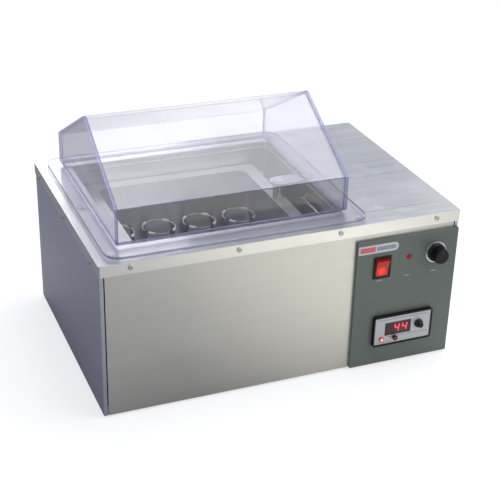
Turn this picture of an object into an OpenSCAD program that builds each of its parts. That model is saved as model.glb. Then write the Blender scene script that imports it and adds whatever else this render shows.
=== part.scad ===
// Shaking water bath for a laboratory bench: a stainless tank in a folded case, a flask
// carriage that a motor drives to and fro, a clear gable lid and a control panel at the
// right of the front. Millimetres. The origin is the centre of the footprint at bench
// level, with +X to the right, +Y to the back and +Z up.

/* [Case] */
// Width of the top cover
cover_w = 525; // [520:1:530]
// Depth of the top cover
cover_d = 357.5; // [356:0.5:362]
// Height of the case from its lower edge to the deck
case_h = 227; // [225:1:232]
// Height of the feet below the case
foot_h = 3; // [2:0.5:4]
// Height of the cover's folded skirt
skirt_h = 16.5; // [15:0.5:18]
// Overhang of the skirt past the case panels
overhang = 1.5; // [1.4:0.1:2]
// Thickness of the case sheet
sheet = 1.2; // [1:0.1:1.2]

/* [Tank] */
// Width of the mouth cut in the deck
mouth_w = 316; // [315:0.5:318]
// Depth of the mouth cut in the deck
mouth_d = 275; // [274:0.5:276]
// Distance from the cover's left edge to the mouth
mouth_left = 48; // [47:0.5:49]
// Distance from the cover's front edge to the mouth
mouth_front = 48; // [47:0.5:49]
// Depth of the tank below its flange
tank_depth = 161; // [158:1:162]
// Thickness of the tank sheet
tank_sheet = 1; // [0.8:0.1:1]

/* [Carriage] */
// Width of the carriage, along its travel
carriage_w = 276; // [274:0.5:276]
// Depth of the carriage, front to back
carriage_d = 266; // [264:0.5:266]
// Drop from the deck to the carriage's rim
rim_drop = 32; // [31:0.5:33]
// Width of the carriage's rim
rim_w = 20; // [20:0.5:21]
// How far the well's two ends are set back under the rim
well_setback = 11.5; // [11:0.5:12]
// Travel of the carriage from end to end
stroke = 20; // [16:1:20]
// Spacing of the flask clamps along a row
column_pitch = 65; // [64:0.5:66]
// Spacing of the rows of clamps
row_pitch = 80; // [78:0.5:80]
// Radius of a clamp's spring ring
ring_r = 25; // [24:0.5:26]

/* [Lid] */
// Width of the lid over its end sheets
lid_w = 332; // [330:1:334]
// Depth of the lid over its walls
lid_d = 295; // [293:1:297]
// Height of the front wall's upper edge above the deck
front_eave = 56; // [52:1:60]
// Height of the back wall's upper edge above the deck
back_eave = 52; // [48:1:56]
// Height of the ridge above the deck
ridge = 132; // [126:1:138]
// Thickness of the clear sheet
lid_sheet = 4; // [3:0.5:5]

/* [Control panel] */
// Width of the control panel
panel_w = 158; // [157:0.5:158]
// Height of the control panel
panel_h = 201.5; // [200:0.5:202]
// How far the panel stands in front of the case
panel_proud = 5; // [4:0.5:6]
// Height of the speed knob in front of the panel
knob_h = 19.25; // [18:0.25:22]

/* [Hidden] */
$fn = 48;
e = 0.01;

// Levels of the case
deck_z = foot_h + case_h;
deck_under = deck_z - sheet;
skirt_z = deck_z - skirt_h;
floor_top = foot_h + 1.5;
wall_top = deck_under - 0.3;

// Outer faces of the case panels
side_x = cover_w / 2 - overhang;
face_y = cover_d / 2 - overhang;
inner_x = side_x - sheet;
inner_y = face_y - sheet;
return_w = 5;
seam = 1.6;
front_x = side_x - return_w - seam;

// Screws through the skirt: a row of four at the front and back, of three at each side
row_screw_x = [for (i = [0:3]) -220 + i * 148.3];
side_screw_y = [for (i = [-1:1]) 5.5 + i * 143];
row_screw_z = deck_z - 7;
side_screw_z = deck_z - 12.5;
screw_r = 1.9;
screw_hole_r = 2.1;
head_r = 3.6;

// The mouth in the deck and the tank below it
mouth_x0 = -cover_w / 2 + mouth_left;
mouth_x1 = mouth_x0 + mouth_w;
mouth_y0 = -cover_d / 2 + mouth_front;
mouth_y1 = mouth_y0 + mouth_d;
mouth_cx = (mouth_x0 + mouth_x1) / 2;
mouth_cy = (mouth_y0 + mouth_y1) / 2;
mouth_r = 6;
tank_step = 1.2;
tank_w = mouth_w - 2 * tank_step;
tank_d = mouth_d - 2 * tank_step;
tank_x1 = mouth_cx + tank_w / 2;
tank_y1 = mouth_cy + tank_d / 2;
tank_r = 8;
flange_top = deck_z - 8;
flange_w = 12;
tank_floor = flange_top - tank_depth;
wrap = 13.7;

// Heater, probe and drain
heater_r = 4.25;
heater_z = tank_floor + 14;
heater_spread = 50;
heater_bend_x = mouth_cx - 83;
probe_r = 2;
probe_x = tank_x1 - 8;
probe_y0 = mouth_cy - 20;
probe_y1 = mouth_cy - 82;
probe_z = deck_z - 27;
probe_bend = 7;
drain_x = -150;
drain_z = tank_floor + 11;
pipe_r = 6;
pipe_bore_r = 4;
front_reach = face_y + panel_proud + knob_h;
valve_y0 = face_y + 1.75;
valve_y1 = front_reach;
valve_cy = (valve_y0 + valve_y1) / 2;
valve_half = 11;
ball_x = drain_x + 14;
ball_r = 7;
spout_x = drain_x + 26;
spout_r = 5;
spout_bore_r = 3.5;
passage_r = 3.2;
spout_len = 20;

// The carriage and its rollers
car_cx = -64.5;
car_cy = mouth_cy;
rim_z = deck_z - rim_drop;
rim_sheet = 1.5;
rim_mouth_w = carriage_w - 2 * rim_w;
well_w = rim_mouth_w + 2 * well_setback;
well_d = carriage_d - 2 * rim_w;
well_r = 12;
well_sheet = 1.2;
well_floor = rim_z - 98;
roller_r = 7;
roller_w = 7;
axle_r = 2;
axle_z = rim_z - 11;
rail_top = axle_z - roller_r - 0.3;
roller_dy = carriage_d / 2 - 4;
roller_dx = carriage_w / 2 - 34;
ear_dy = roller_dy - roller_w / 2 - 3;
clamps = [
  for (row = [-1:1], column = [-1.5:1:1.5])
  [car_cx + column * column_pitch, car_cy + row * row_pitch]
];
clamp_base_z = well_floor + well_sheet;
clamp_foot_z = clamp_base_z + 1.2;
ring_z = deck_z - 92;
wire_r = 1;
sleeve_r = 1.9;
prong_turn = 28;
sleeve_turn = 47;

// The drive: post on the carriage, arm, crank and gear motor
post_x = car_cx + carriage_w / 2 - rim_w / 2;
post_r = 8.5;
arm_z = deck_z - 7;
arm_t = 3;
arm_w = 28;
crank_x = 175;
crank_r = stroke / 2;
bearing_r = 6.5;
bearing_w = 5;
bearing_z = arm_z - 1;
pin_r = 3;
yoke_gap = 2.4;
shaft_r = 4;
disc_top = arm_z - 5;
disc_h = 8;
bracket_z = disc_top - disc_h - 6;
gearbox_h = 32;
gearbox_half = 30;
motor_r = 26;
motor_h = 80;

// The control panel and what it carries
panel_x1 = side_x - 0.5;
panel_x0 = panel_x1 - panel_w;
panel_z1 = foot_h + panel_h;
panel_y = -face_y - panel_proud;
panel_sheet = 1.5;
panel_back = panel_y + panel_sheet;
switch_x = panel_x0 + 39.2;
switch_z = foot_h + 158.6;
switch_w = 26.4;
switch_h = 33.2;
switch_lip = 2.2;
rocker_w = 19.2;
rocker_half_h = 12.1;
rocker_tilt = 8;
rocker_axis_y = panel_y + 3.2;
lamp_x = panel_x0 + 81.9;
lamp_z = foot_h + 167.7;
knob_x = panel_x0 + 124;
knob_z = foot_h + 168.3;
dial_r = 16;
dial_t = 0.8;
unit_x0 = panel_x0 + 31.7;
unit_w = 94.3;
unit_h = 48.6;
unit_z1 = foot_h + 79.8;
unit_lip = 6;
unit_front = panel_y - unit_lip;
plate_front = unit_front + 1.2;
plate_t = 1.2;
window_x0 = unit_x0 + 18.4;
window_w = 42;
window_h = 21;
window_z1 = unit_z1 - 11.9;
set_x = unit_x0 + 72.6;
set_z = unit_z1 - 21.3;
unit_lamp_x = unit_x0 + 13.5;
unit_lamp_z = unit_z1 - 37.3;
button_x = unit_x0 + 34.5;
button_z = unit_z1 - 37.1;

// The mains inlet on the back
inlet_x = 205;
inlet_z = 62;

// The lid
lid_cx = -62.5;
lid_cy = 8.75;
lid_y0 = lid_cy - lid_d / 2;
lid_y1 = lid_cy + lid_d / 2;
lid_x0 = lid_cx - lid_w / 2;
lid_x1 = lid_cx + lid_w / 2;
ridge_y = 4.5;
bumper_h = 2;
lid_flange_w = 372;
lid_flange_d = 344;
lid_flange_t = 4.5;
lid_flange_r = 22;
lid_flange_cx = -62;
lid_flange_cy = -0.75;
lid_flange_top = deck_z + bumper_h + lid_flange_t;

// Heights of the lid's eaves and ridge, the slopes of its roof and the sheet's drop down them
lid_z0 = lid_flange_top;
lid_z1 = deck_z + front_eave;
lid_z2 = deck_z + ridge;
lid_z3 = deck_z + back_eave;
front_slope = (lid_z2 - lid_z1) / (ridge_y - lid_y0);
back_slope = (lid_z2 - lid_z3) / (lid_y1 - ridge_y);
front_drop = lid_sheet * sqrt(1 + front_slope * front_slope);
back_drop = lid_sheet * sqrt(1 + back_slope * back_slope);
inner_ridge_y = ridge_y + (front_drop - back_drop) / (front_slope + back_slope);

// ---- Shapes that repeat ----

// A box between two corners
module block(x, y, z) {
  translate([x[0], y[0], z[0]])
    cube([x[1] - x[0], y[1] - y[0], z[1] - z[0]]);
}

// A rectangle with round corners, centred
module round_rect(w, d, r) {
  square([w - 2 * r, d], center = true);
  square([w, d - 2 * r], center = true);
  for (sx = [-1, 1], sy = [-1, 1])
    translate([sx * (w / 2 - r), sy * (d / 2 - r)])
      circle(r);
}

// A flat plate with round corners, between two levels
module round_plate(cx, cy, w, d, r, z) {
  translate([cx, cy, z[0]])
    linear_extrude(z[1] - z[0])
      round_rect(w, d, r);
}

// A frame with round corners: the plate less a smaller one
module round_frame(cx, cy, w, d, r, t, z) {
  difference() {
    round_plate(cx, cy, w, d, r, z);
    round_plate(cx, cy, w - 2 * t, d - 2 * t, max(r - t, 0.5), [z[0] - 1, z[1] + 1]);
  }
}

// Round bars along each axis, from one end to the other
module bar_x(x, y, z, r) {
  translate([x[0], y, z])
    rotate([0, 90, 0])
      cylinder(h = x[1] - x[0], r = r);
}

module bar_y(x, y, z, r) {
  translate([x, y[0], z])
    rotate([-90, 0, 0])
      cylinder(h = y[1] - y[0], r = r);
}

module bar_z(x, y, z, r) {
  translate([x, y, z[0]])
    cylinder(h = z[1] - z[0], r = r);
}

// A hexagonal nut along X
module hex_x(x, y, z, r) {
  translate([x[0], y, z])
    rotate([0, 90, 0])
      cylinder(h = x[1] - x[0], r = r, $fn = 6);
}

// A pan-head screw with its head up and its seat at the origin
module screw(shank) {
  difference() {
    union() {
      cylinder(h = 1.1, r = head_r);
      translate([0, 0, 1.1])
        cylinder(h = 0.7, r1 = head_r, r2 = head_r - 1.1);
    }
    for (turn = [0, 90])
      rotate(turn)
        translate([-2, -0.4, 0.9])
          cube([4, 0.8, 1.5]);
  }
  translate([0, 0, -shank])
    cylinder(h = shank, r = screw_r);
}

// Holes for the skirt's screws, through the skirt and the panels behind it
module skirt_holes() {
  for (x = row_screw_x)
    bar_y(x, [-cover_d / 2 - 5, cover_d / 2 + 5], row_screw_z, screw_hole_r);
  for (y = side_screw_y)
    bar_x([-cover_w / 2 - 5, cover_w / 2 + 5], y, side_screw_z, screw_hole_r);
}

// ---- Case ----

module base_plate() {
  bx = inner_x - 0.2;
  by = inner_y - 0.2;
  color("lightgray")
    difference() {
      block([-bx, bx], [-by, by], [foot_h, foot_h + 15]);
      block([-bx + 1.5, bx - 1.5], [-by + 1.5, by - 1.5], [floor_top, foot_h + 16]);
      for (sx = [-1, 1], sy = [-1, 1])
        bar_z(sx * 220, sy * 138, [foot_h - 1, floor_top + 1], 3.05);
      for (i = [0:7])
        block([142 + i * 12, 146 + i * 12], [-95, -45], [foot_h - 1, floor_top + 1]);
    }
}

module feet() {
  color("dimgray")
    for (sx = [-1, 1], sy = [-1, 1])
      translate([sx * 220, sy * 138, 0]) {
        cylinder(h = foot_h, r = 11);
        cylinder(h = floor_top, r = 3);
        translate([0, 0, floor_top])
          cylinder(h = 1.5, r = 5);
      }
}

// One side of the case: a flat side with a narrow return at the front and the back
module side_panel() {
  difference() {
    union() {
      block([-side_x, -inner_x], [-face_y, face_y], [foot_h, wall_top]);
      for (s = [-1, 1])
        translate([0, s * (face_y - sheet / 2), 0])
          block([-side_x, -side_x + return_w], [-sheet / 2, sheet / 2], [foot_h, wall_top]);
    }
    skirt_holes();
  }
}

module left_side_panel() {
  color("slategray")
    side_panel();
}

module right_side_panel() {
  color("slategray")
    mirror([1, 0, 0])
      side_panel();
}

// A flat sheet across the front with its two ends folded inwards
module cross_panel() {
  block([-front_x, front_x], [-face_y, -inner_y], [foot_h, wall_top]);
  for (s = [-1, 1])
    translate([s * (front_x - sheet / 2), 0, 0])
      block([-sheet / 2, sheet / 2], [-inner_y, -inner_y + 9], [foot_h + 17, wall_top]);
}

module front_panel() {
  color("gainsboro")
    difference() {
      cross_panel();
      block([panel_x0 + 9, panel_x1 - 10], [-face_y - 1, -inner_y + 1], [foot_h + 17, panel_z1 - 8]);
      skirt_holes();
    }
}

module back_panel() {
  color("gainsboro")
    difference() {
      mirror([0, 1, 0])
        cross_panel();
      skirt_holes();
      bar_y(drain_x, [inner_y - 1, face_y + 1], drain_z, pipe_r + 0.4);
      block([inlet_x - 14, inlet_x + 14], [inner_y - 1, face_y + 1], [inlet_z - 23, inlet_z + 23]);
      for (i = [0:9])
        block([142 + i * 10, 145 + i * 10], [inner_y - 1, face_y + 1], [120, 180]);
    }
}

module top_cover() {
  color("lavender")
    difference() {
      union() {
        round_plate(0, 0, cover_w, cover_d, 3, [deck_under, deck_z]);
        round_frame(0, 0, cover_w, cover_d, 3, sheet, [skirt_z, deck_under + e]);
        round_plate(mouth_cx, mouth_cy, mouth_w + 2 * sheet, mouth_d + 2 * sheet,
                    mouth_r + sheet, [flange_top, deck_under + e]);
      }
      round_plate(mouth_cx, mouth_cy, mouth_w, mouth_d, mouth_r, [flange_top - 1, deck_z + 1]);
      block([mouth_x1 - 1, mouth_x1 + 3], [car_cy - 16, car_cy + 16], [flange_top - 1, deck_under]);
      skirt_holes();
    }
}

module cover_screws() {
  color("silver") {
    for (x = row_screw_x, s = [-1, 1])
      translate([x, s * cover_d / 2, row_screw_z])
        rotate([-s * 90, 0, 0])
          screw(8);
    for (y = side_screw_y, s = [-1, 1])
      translate([s * cover_w / 2, y, side_screw_z])
        rotate([0, s * 90, 0])
          screw(8);
  }
}

// ---- Tank ----

module tank() {
  color("silver")
    difference() {
      union() {
        round_plate(mouth_cx, mouth_cy, tank_w + 2 * tank_sheet, tank_d + 2 * tank_sheet,
                    tank_r + tank_sheet, [tank_floor - tank_sheet, flange_top]);
        round_plate(mouth_cx, mouth_cy, tank_w + 2 * flange_w, tank_d + 2 * flange_w,
                    tank_r + 6, [flange_top - tank_sheet, flange_top]);
      }
      round_plate(mouth_cx, mouth_cy, tank_w, tank_d, tank_r, [tank_floor, flange_top + 1]);
      for (s = [-1, 1])
        bar_x([tank_x1 - 1, tank_x1 + 3], mouth_cy + s * heater_spread, heater_z, 6.05);
      bar_x([tank_x1 - 1, tank_x1 + 3], probe_y0, probe_z, 3.05);
      bar_y(drain_x, [tank_y1 - 1, tank_y1 + 3], drain_z, pipe_r + 0.05);
    }
}

module insulation() {
  outer_x = tank_w / 2 + wrap;
  outer_y = tank_d / 2 + wrap;
  tank_out_x = tank_x1 + tank_sheet;
  color("khaki")
    difference() {
      block([mouth_cx - outer_x, mouth_cx + outer_x], [mouth_cy - outer_y, mouth_cy + outer_y],
            [tank_floor - 15, flange_top - 3]);
      round_plate(mouth_cx, mouth_cy, tank_w + 2 * tank_sheet, tank_d + 2 * tank_sheet,
                  tank_r + tank_sheet, [tank_floor - tank_sheet, flange_top]);
      for (s = [-1, 1])
        bar_x([tank_x1, tank_x1 + 20], mouth_cy + s * heater_spread, heater_z, 12);
      bar_x([tank_x1, tank_x1 + 20], probe_y0, probe_z, 8);
      bar_y(drain_x, [tank_y1, tank_y1 + 20], drain_z, pipe_r + 0.5);
    }
}

module heater_element() {
  color("dimgray") {
    for (s = [-1, 1]) {
      bar_x([heater_bend_x, tank_x1 + 10], mouth_cy + s * heater_spread, heater_z, heater_r);
      bar_x([tank_x1 + 10 - e, tank_x1 + 14], mouth_cy + s * heater_spread, heater_z, 1.5);
    }
    translate([heater_bend_x, mouth_cy, heater_z])
      rotate([0, 0, 90])
        rotate_extrude(angle = 180)
          translate([heater_spread, 0])
            circle(heater_r);
  }
}

// A screwed bush through the tank wall: flange inside, hexagonal nut outside
module wall_bush(y, z, sleeve, bore, flange, hex, reach) {
  difference() {
    union() {
      bar_x([tank_x1 - reach, tank_x1 + 8], y, z, sleeve);
      bar_x([tank_x1 - min(3, reach), tank_x1], y, z, flange);
      hex_x([tank_x1 + tank_sheet, tank_x1 + tank_sheet + 4], y, z, hex);
    }
    bar_x([tank_x1 - reach - 1, tank_x1 + 9], y, z, bore);
  }
}

module tank_fittings() {
  color("goldenrod") {
    for (s = [-1, 1])
      wall_bush(mouth_cy + s * heater_spread, heater_z, 6, heater_r + 0.05, 8.5, 9.5, 5);
    wall_bush(probe_y0, probe_z, 3, probe_r + 0.05, 5, 5.8, tank_x1 - probe_x - probe_bend);
  }
}

// Probe tube: in through the wall, forward beside the carriage and down into the water
module temperature_probe() {
  color("silver") {
    bar_x([probe_x + probe_bend, tank_x1 + 14], probe_y0, probe_z, probe_r);
    translate([probe_x + probe_bend, probe_y0 - probe_bend, probe_z])
      rotate([0, 0, 90])
        rotate_extrude(angle = 90)
          translate([probe_bend, 0])
            circle(probe_r);
    bar_y(probe_x, [probe_y1 + probe_bend, probe_y0 - probe_bend], probe_z, probe_r);
    translate([probe_x, probe_y1 + probe_bend, probe_z - probe_bend])
      rotate([90, 0, -90])
        rotate_extrude(angle = 90)
          translate([probe_bend, 0])
            circle(probe_r);
    bar_z(probe_x, probe_y1, [tank_floor + 32, probe_z - probe_bend], probe_r);
    bar_z(probe_x, probe_y1, [tank_floor + 32, tank_floor + 72], 3);
  }
}

module drain_pipe() {
  color("silver")
    difference() {
      bar_y(drain_x, [tank_y1 - 1.5, valve_y0 + 4], drain_z, pipe_r);
      bar_y(drain_x, [tank_y1 - 3, valve_y0 + 5], drain_z, pipe_bore_r);
    }
}

module drain_valve() {
  color("goldenrod")
    difference() {
      union() {
        block([drain_x - 10, drain_x + 34], [valve_y0, valve_y1],
              [drain_z - valve_half, drain_z + valve_half]);
        bar_z(spout_x, valve_cy, [drain_z - valve_half - spout_len, drain_z - 5], spout_r);
        bar_z(ball_x, valve_cy, [drain_z + 9, drain_z + valve_half + 2], 6);
      }
      bar_y(drain_x, [valve_y0 - 1, valve_y0 + 4], drain_z, pipe_r + 0.03);
      bar_y(drain_x, [valve_y0 - 1, valve_cy + 5], drain_z, pipe_bore_r);
      bar_x([drain_x, spout_x], valve_cy, drain_z, passage_r);
      bar_z(ball_x, valve_cy, [drain_z - ball_r - 0.4, drain_z + ball_r + 0.4], ball_r + 0.4);
      bar_z(spout_x, valve_cy, [drain_z - valve_half - spout_len - 1, drain_z + 5], spout_bore_r);
      bar_z(ball_x, valve_cy, [drain_z, drain_z + valve_half + 3], 2.55);
    }
}

module drain_ball() {
  color("silver")
    difference() {
      union() {
        translate([ball_x, valve_cy, drain_z])
          sphere(ball_r);
        bar_z(ball_x, valve_cy, [drain_z, drain_z + valve_half + 4], 2.5);
      }
      bar_y(ball_x, [valve_cy - 10, valve_cy + 10], drain_z, passage_r);
    }
}

module drain_handle() {
  z0 = drain_z + valve_half + 3;
  color("firebrick")
    difference() {
      union() {
        translate([ball_x, valve_cy, z0])
          linear_extrude(5)
            round_rect(8, 22, 3.9);
        bar_z(ball_x, valve_cy, [z0, z0 + 5], 5.5);
      }
      bar_z(ball_x, valve_cy, [z0 - 1, drain_z + valve_half + 4], 2.5);
    }
}

// Two angle strips on the tank's front and back walls, which the rollers run on
module guide_rails() {
  color("silver")
    for (s = [-1, 1])
      translate([0, mouth_cy, 0])
        mirror([0, s < 0 ? 1 : 0, 0]) {
          block([mouth_x0 + 9, tank_x1 - 5], [tank_d / 2 - 12, tank_d / 2], [rail_top - 1.5, rail_top]);
          block([mouth_x0 + 9, tank_x1 - 5], [tank_d / 2 - 1.5, tank_d / 2], [rail_top - 14, rail_top]);
        }
}

// ---- Carriage ----

module carriage_tray() {
  color("silver")
    difference() {
      union() {
        round_plate(car_cx, car_cy, carriage_w, carriage_d, 2, [rim_z - rim_sheet, rim_z]);
        round_plate(car_cx, car_cy, well_w + 2 * well_sheet, well_d + 2 * well_sheet,
                    well_r + well_sheet, [well_floor, rim_z - rim_sheet + e]);
        for (sx = [-1, 1], sy = [-1, 1])
          translate([car_cx + sx * roller_dx, car_cy + sy * ear_dy, 0])
            block([-8, 8], [-1, 1], [axle_z - 6, rim_z - e]);
      }
      round_plate(car_cx, car_cy, rim_mouth_w, well_d, well_r, [rim_z - rim_sheet - 1, rim_z + 1]);
      round_plate(car_cx, car_cy, well_w, well_d, well_r, [well_floor + well_sheet, rim_z - rim_sheet]);
      for (sx = [-1, 1], sy = [-1, 1])
        translate([car_cx + sx * roller_dx, car_cy + sy * ear_dy, 0])
          bar_y(0, [-3, 3], axle_z, axle_r);
      for (i = [-3:3], s = [-1, 1])
        bar_z(car_cx + i * column_pitch / 2, car_cy + s * row_pitch / 2,
              [well_floor - 1, well_floor + 3], 7);
    }
}

// One axle: a plain pin with a head at each end
module axle() {
  bar_y(0, [ear_dy - 2.5, roller_dy + roller_w / 2 + 1.3], axle_z, axle_r);
  bar_y(0, [ear_dy - 2.5, ear_dy - 1], axle_z, axle_r + 1.5);
  bar_y(0, [roller_dy + roller_w / 2 + 0.3, roller_dy + roller_w / 2 + 1.8], axle_z, axle_r + 1.5);
}

module roller_axles() {
  color("gray")
    for (sx = [-1, 1], sy = [0, 1])
      translate([car_cx + sx * roller_dx, car_cy, 0])
        mirror([0, sy, 0])
          axle();
}

module roller(sx, sy) {
  color("whitesmoke")
    translate([car_cx + sx * roller_dx, car_cy + sy * roller_dy, axle_z])
      rotate([90, 0, 0])
        difference() {
          cylinder(h = roller_w, r = roller_r, center = true);
          cylinder(h = roller_w + 2, r = axle_r + 0.05, center = true);
        }
}

module roller_front_left() {
  roller(-1, -1);
}

module roller_front_right() {
  roller(1, -1);
}

module roller_back_left() {
  roller(-1, 1);
}

module roller_back_right() {
  roller(1, 1);
}

// Cross-shaped foot that carries a clamp's four prongs
module clamp_bases() {
  color("silver")
    for (c = clamps)
      translate([c[0], c[1], clamp_base_z]) {
        cylinder(h = 1.2, r = 11);
        for (k = [0:3])
          rotate(prong_turn + 90 * k)
            translate([0, -4, 0])
              cube([31.5, 8, 1.2]);
        cylinder(h = 2.6, r = 3.5);
      }
}

// One prong in section: distance from the clamp's axis against height
module prong_section() {
  tip = ring_z - clamp_foot_z;
  inner = [[29.5, 0], [31.2, 0.35 * tip], [29.6, 0.7 * tip], [26, 0.96 * tip], [26, tip + 3]];
  last = len(inner) - 1;
  polygon(concat(inner, [for (i = [last:-1:0]) inner[i] + [0.9, 0]]));
}

module clamp_prongs() {
  color("dimgray")
    for (c = clamps, k = [0:3])
      translate([c[0], c[1], clamp_foot_z])
        rotate([90, 0, prong_turn + 90 * k])
          linear_extrude(7, center = true)
            prong_section();
}

module clamp_rings() {
  color("silver")
    for (c = clamps)
      translate([c[0], c[1], ring_z])
        rotate_extrude()
          translate([ring_r, 0])
            circle(wire_r);
}

module clamp_sleeves() {
  color("whitesmoke")
    for (c = clamps, k = [0:3])
      translate([c[0], c[1], ring_z])
        rotate(sleeve_turn + 90 * k - 11)
          rotate_extrude(angle = 22)
            translate([ring_r, 0])
              difference() {
                circle(sleeve_r);
                circle(wire_r);
              }
}

// ---- Drive ----

module drive_post() {
  color("darkgray") {
    bar_z(post_x, car_cy, [rim_z, arm_z], post_r);
    bar_z(post_x, car_cy, [arm_z - e, arm_z + arm_t], 4);
    bar_z(post_x, car_cy, [arm_z + arm_t, arm_z + arm_t + 2.6], post_r);
  }
}

module drive_arm() {
  slot_w = 2 * (bearing_r + yoke_gap);
  slot_l = 2 * (crank_r + bearing_r + 0.6);
  color("silver")
    translate([0, car_cy, arm_z])
      linear_extrude(arm_t)
        difference() {
          union() {
            translate([post_x, 0])
              circle(arm_w / 2);
            translate([post_x, -arm_w / 2])
              square([crank_x - post_x, arm_w]);
            translate([crank_x, 0])
              square([slot_w + 28, slot_l + 18], center = true);
          }
          translate([post_x, 0])
            circle(4);
          translate([crank_x, 0])
            square([slot_w, slot_l], center = true);
        }
}

module arm_guide() {
  color("whitesmoke")
    difference() {
      block([119, 137], [car_cy - 20, car_cy + 20], [arm_z - 3.5, deck_under]);
      block([118, 138], [car_cy - arm_w / 2 - 0.2, car_cy + arm_w / 2 + 0.2],
            [arm_z - 0.2, arm_z + arm_t + 0.2]);
    }
}

module output_shaft() {
  color("silver")
    bar_z(crank_x, car_cy, [bracket_z - gearbox_h + 10, disc_top], shaft_r);
}

module crank_disc() {
  color("gray")
    difference() {
      union() {
        bar_z(crank_x, car_cy, [disc_top - disc_h, disc_top], 18);
        bar_z(crank_x, car_cy - crank_r, [disc_top - e, bearing_z], 4.2);
        bar_z(crank_x, car_cy - crank_r, [disc_top - e, bearing_z + bearing_w + 0.5], pin_r);
      }
      bar_z(crank_x, car_cy, [disc_top - disc_h - 1, disc_top], shaft_r);
    }
}

module crank_bearing() {
  color("silver")
    difference() {
      bar_z(crank_x, car_cy - crank_r, [bearing_z, bearing_z + bearing_w], bearing_r);
      bar_z(crank_x, car_cy - crank_r, [bearing_z - 1, bearing_z + bearing_w + 1], pin_r);
    }
}

module motor_bracket() {
  half = gearbox_half + 8;
  color("lightgray")
    difference() {
      union() {
        block([crank_x - half, crank_x + half], [car_cy - 30, car_cy + 30], [bracket_z, bracket_z + 2]);
        for (s = [-1, 1])
          translate([crank_x, 0, 0])
            mirror([s < 0 ? 1 : 0, 0, 0]) {
              block([half - 2, half], [car_cy - 30, car_cy + 30], [floor_top, bracket_z + e]);
              block([half - e, half + 11], [car_cy - 30, car_cy + 30], [floor_top, floor_top + 2]);
            }
      }
      bar_z(crank_x, car_cy, [bracket_z - 1, bracket_z + 3], 12);
    }
}

module gearbox() {
  half = gearbox_half;
  color("gray")
    difference() {
      union() {
        block([crank_x - half, crank_x + half], [car_cy - half, car_cy + half],
              [bracket_z - gearbox_h, bracket_z]);
        bar_z(crank_x, car_cy, [bracket_z - e, bracket_z + 5], 11.5);
      }
      bar_z(crank_x, car_cy, [bracket_z - gearbox_h + 9.5, bracket_z + 6], shaft_r + 0.05);
    }
}

module drive_motor() {
  top = bracket_z - gearbox_h;
  color("darkslategray") {
    bar_z(crank_x, car_cy, [top - motor_h, top], motor_r);
    bar_z(crank_x, car_cy, [top - motor_h - 6, top - motor_h + e], 11);
    for (s = [-1, 1])
      block([crank_x + s * 26 - 4, crank_x + s * 26 + 4], [car_cy - 5, car_cy + 5],
            [top - motor_h + 8, top - motor_h + 18]);
  }
}

module partition_plate() {
  color("lightgray")
    difference() {
      union() {
        block([116, 117.2], [-inner_y + 1.9, inner_y - 1.9], [floor_top, deck_z - 15]);
        block([104, 116 + e], [-inner_y + 1.9, inner_y - 1.9], [floor_top, floor_top + 1.2]);
      }
      for (y = [-100, 110])
        bar_x([115, 118], y, 40, 9);
    }
}

// ---- Control panel ----

module control_panel() {
  color("dimgray")
    difference() {
      block([panel_x0, panel_x1], [panel_y, -face_y], [foot_h, panel_z1]);
      block([panel_x0 + sheet, panel_x1 - sheet], [panel_back, -face_y + 1],
            [foot_h + sheet, panel_z1 - sheet]);
      block([switch_x - 11.9, switch_x + 11.9], [panel_y - 1, panel_back + 1],
            [switch_z - 15, switch_z + 15]);
      bar_y(lamp_x, [panel_y - 1, panel_back + 1], lamp_z, 3.2);
      bar_y(knob_x, [panel_y - 1, panel_back + 1], knob_z, 3.6);
      block([unit_x0 + 2, unit_x0 + unit_w - 2], [panel_y - 1, panel_back + 1],
            [unit_z1 - unit_h + 2.4, unit_z1 - 2.4]);
    }
}

// Plain strip with a round right-hand end
module blank_label() {
  x0 = panel_x0 + 1.2;
  x1 = panel_x0 + 63.4;
  z0 = foot_h + 182.2;
  h = 13;
  color("whitesmoke")
    translate([0, panel_y, z0])
      rotate([90, 0, 0])
        linear_extrude(0.5) {
          translate([x0, 0])
            square([x1 - x0 - h / 2, h]);
          translate([x1 - h / 2, h / 2])
            circle(h / 2);
        }
}

module switch_bezel() {
  cavity_w = rocker_w + 0.8;
  cavity_h = 2 * rocker_half_h + 2.6;
  color("black")
    difference() {
      union() {
        block([switch_x - switch_w / 2, switch_x + switch_w / 2], [panel_y - switch_lip, panel_y],
              [switch_z - switch_h / 2, switch_z + switch_h / 2]);
        block([switch_x - 11.7, switch_x + 11.7], [panel_y - e, panel_y + 24],
              [switch_z - 14.8, switch_z + 14.8]);
        for (x = [-5, 5])
          block([switch_x + x - 0.4, switch_x + x + 0.4], [panel_y + 23, panel_y + 32],
                [switch_z - 3, switch_z + 3]);
      }
      block([switch_x - cavity_w / 2, switch_x + cavity_w / 2], [panel_y - 3, panel_y + 11],
            [switch_z - cavity_h / 2, switch_z + cavity_h / 2]);
      bar_x([switch_x - rocker_w / 2 - 1.3, switch_x + rocker_w / 2 + 1.3], rocker_axis_y, switch_z, 1.45);
    }
}

// Rocker: two flat faces that meet in a shallow valley, on two short pivots
module mains_rocker() {
  out = -panel_y;
  color("red")
    translate([switch_x, rocker_axis_y, switch_z])
      rotate([rocker_tilt, 0, 0]) {
        rotate([90, 0, 90])
          linear_extrude(rocker_w, center = true)
            polygon([
              [-5.6, 0], [-7.4, rocker_half_h], [2, rocker_half_h],
              [4.5, 7.5], [4.5, -7.5], [2, -rocker_half_h], [-7.4, -rocker_half_h]
            ]);
        bar_x([-rocker_w / 2 - 1.1, rocker_w / 2 + 1.1], 0, 0, 1.4);
      }
}

// Round lamp with a low collar and a domed lens
module lamp(x, z, y, collar, lens, depth) {
  bar_y(x, [y - 1, y], z, collar);
  bar_y(x, [y - e, y + depth], z, lens);
  translate([x, y - 1, z])
    intersection() {
      sphere(lens);
      translate([0, -lens, 0])
        cube(2 * lens, center = true);
    }
}

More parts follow.
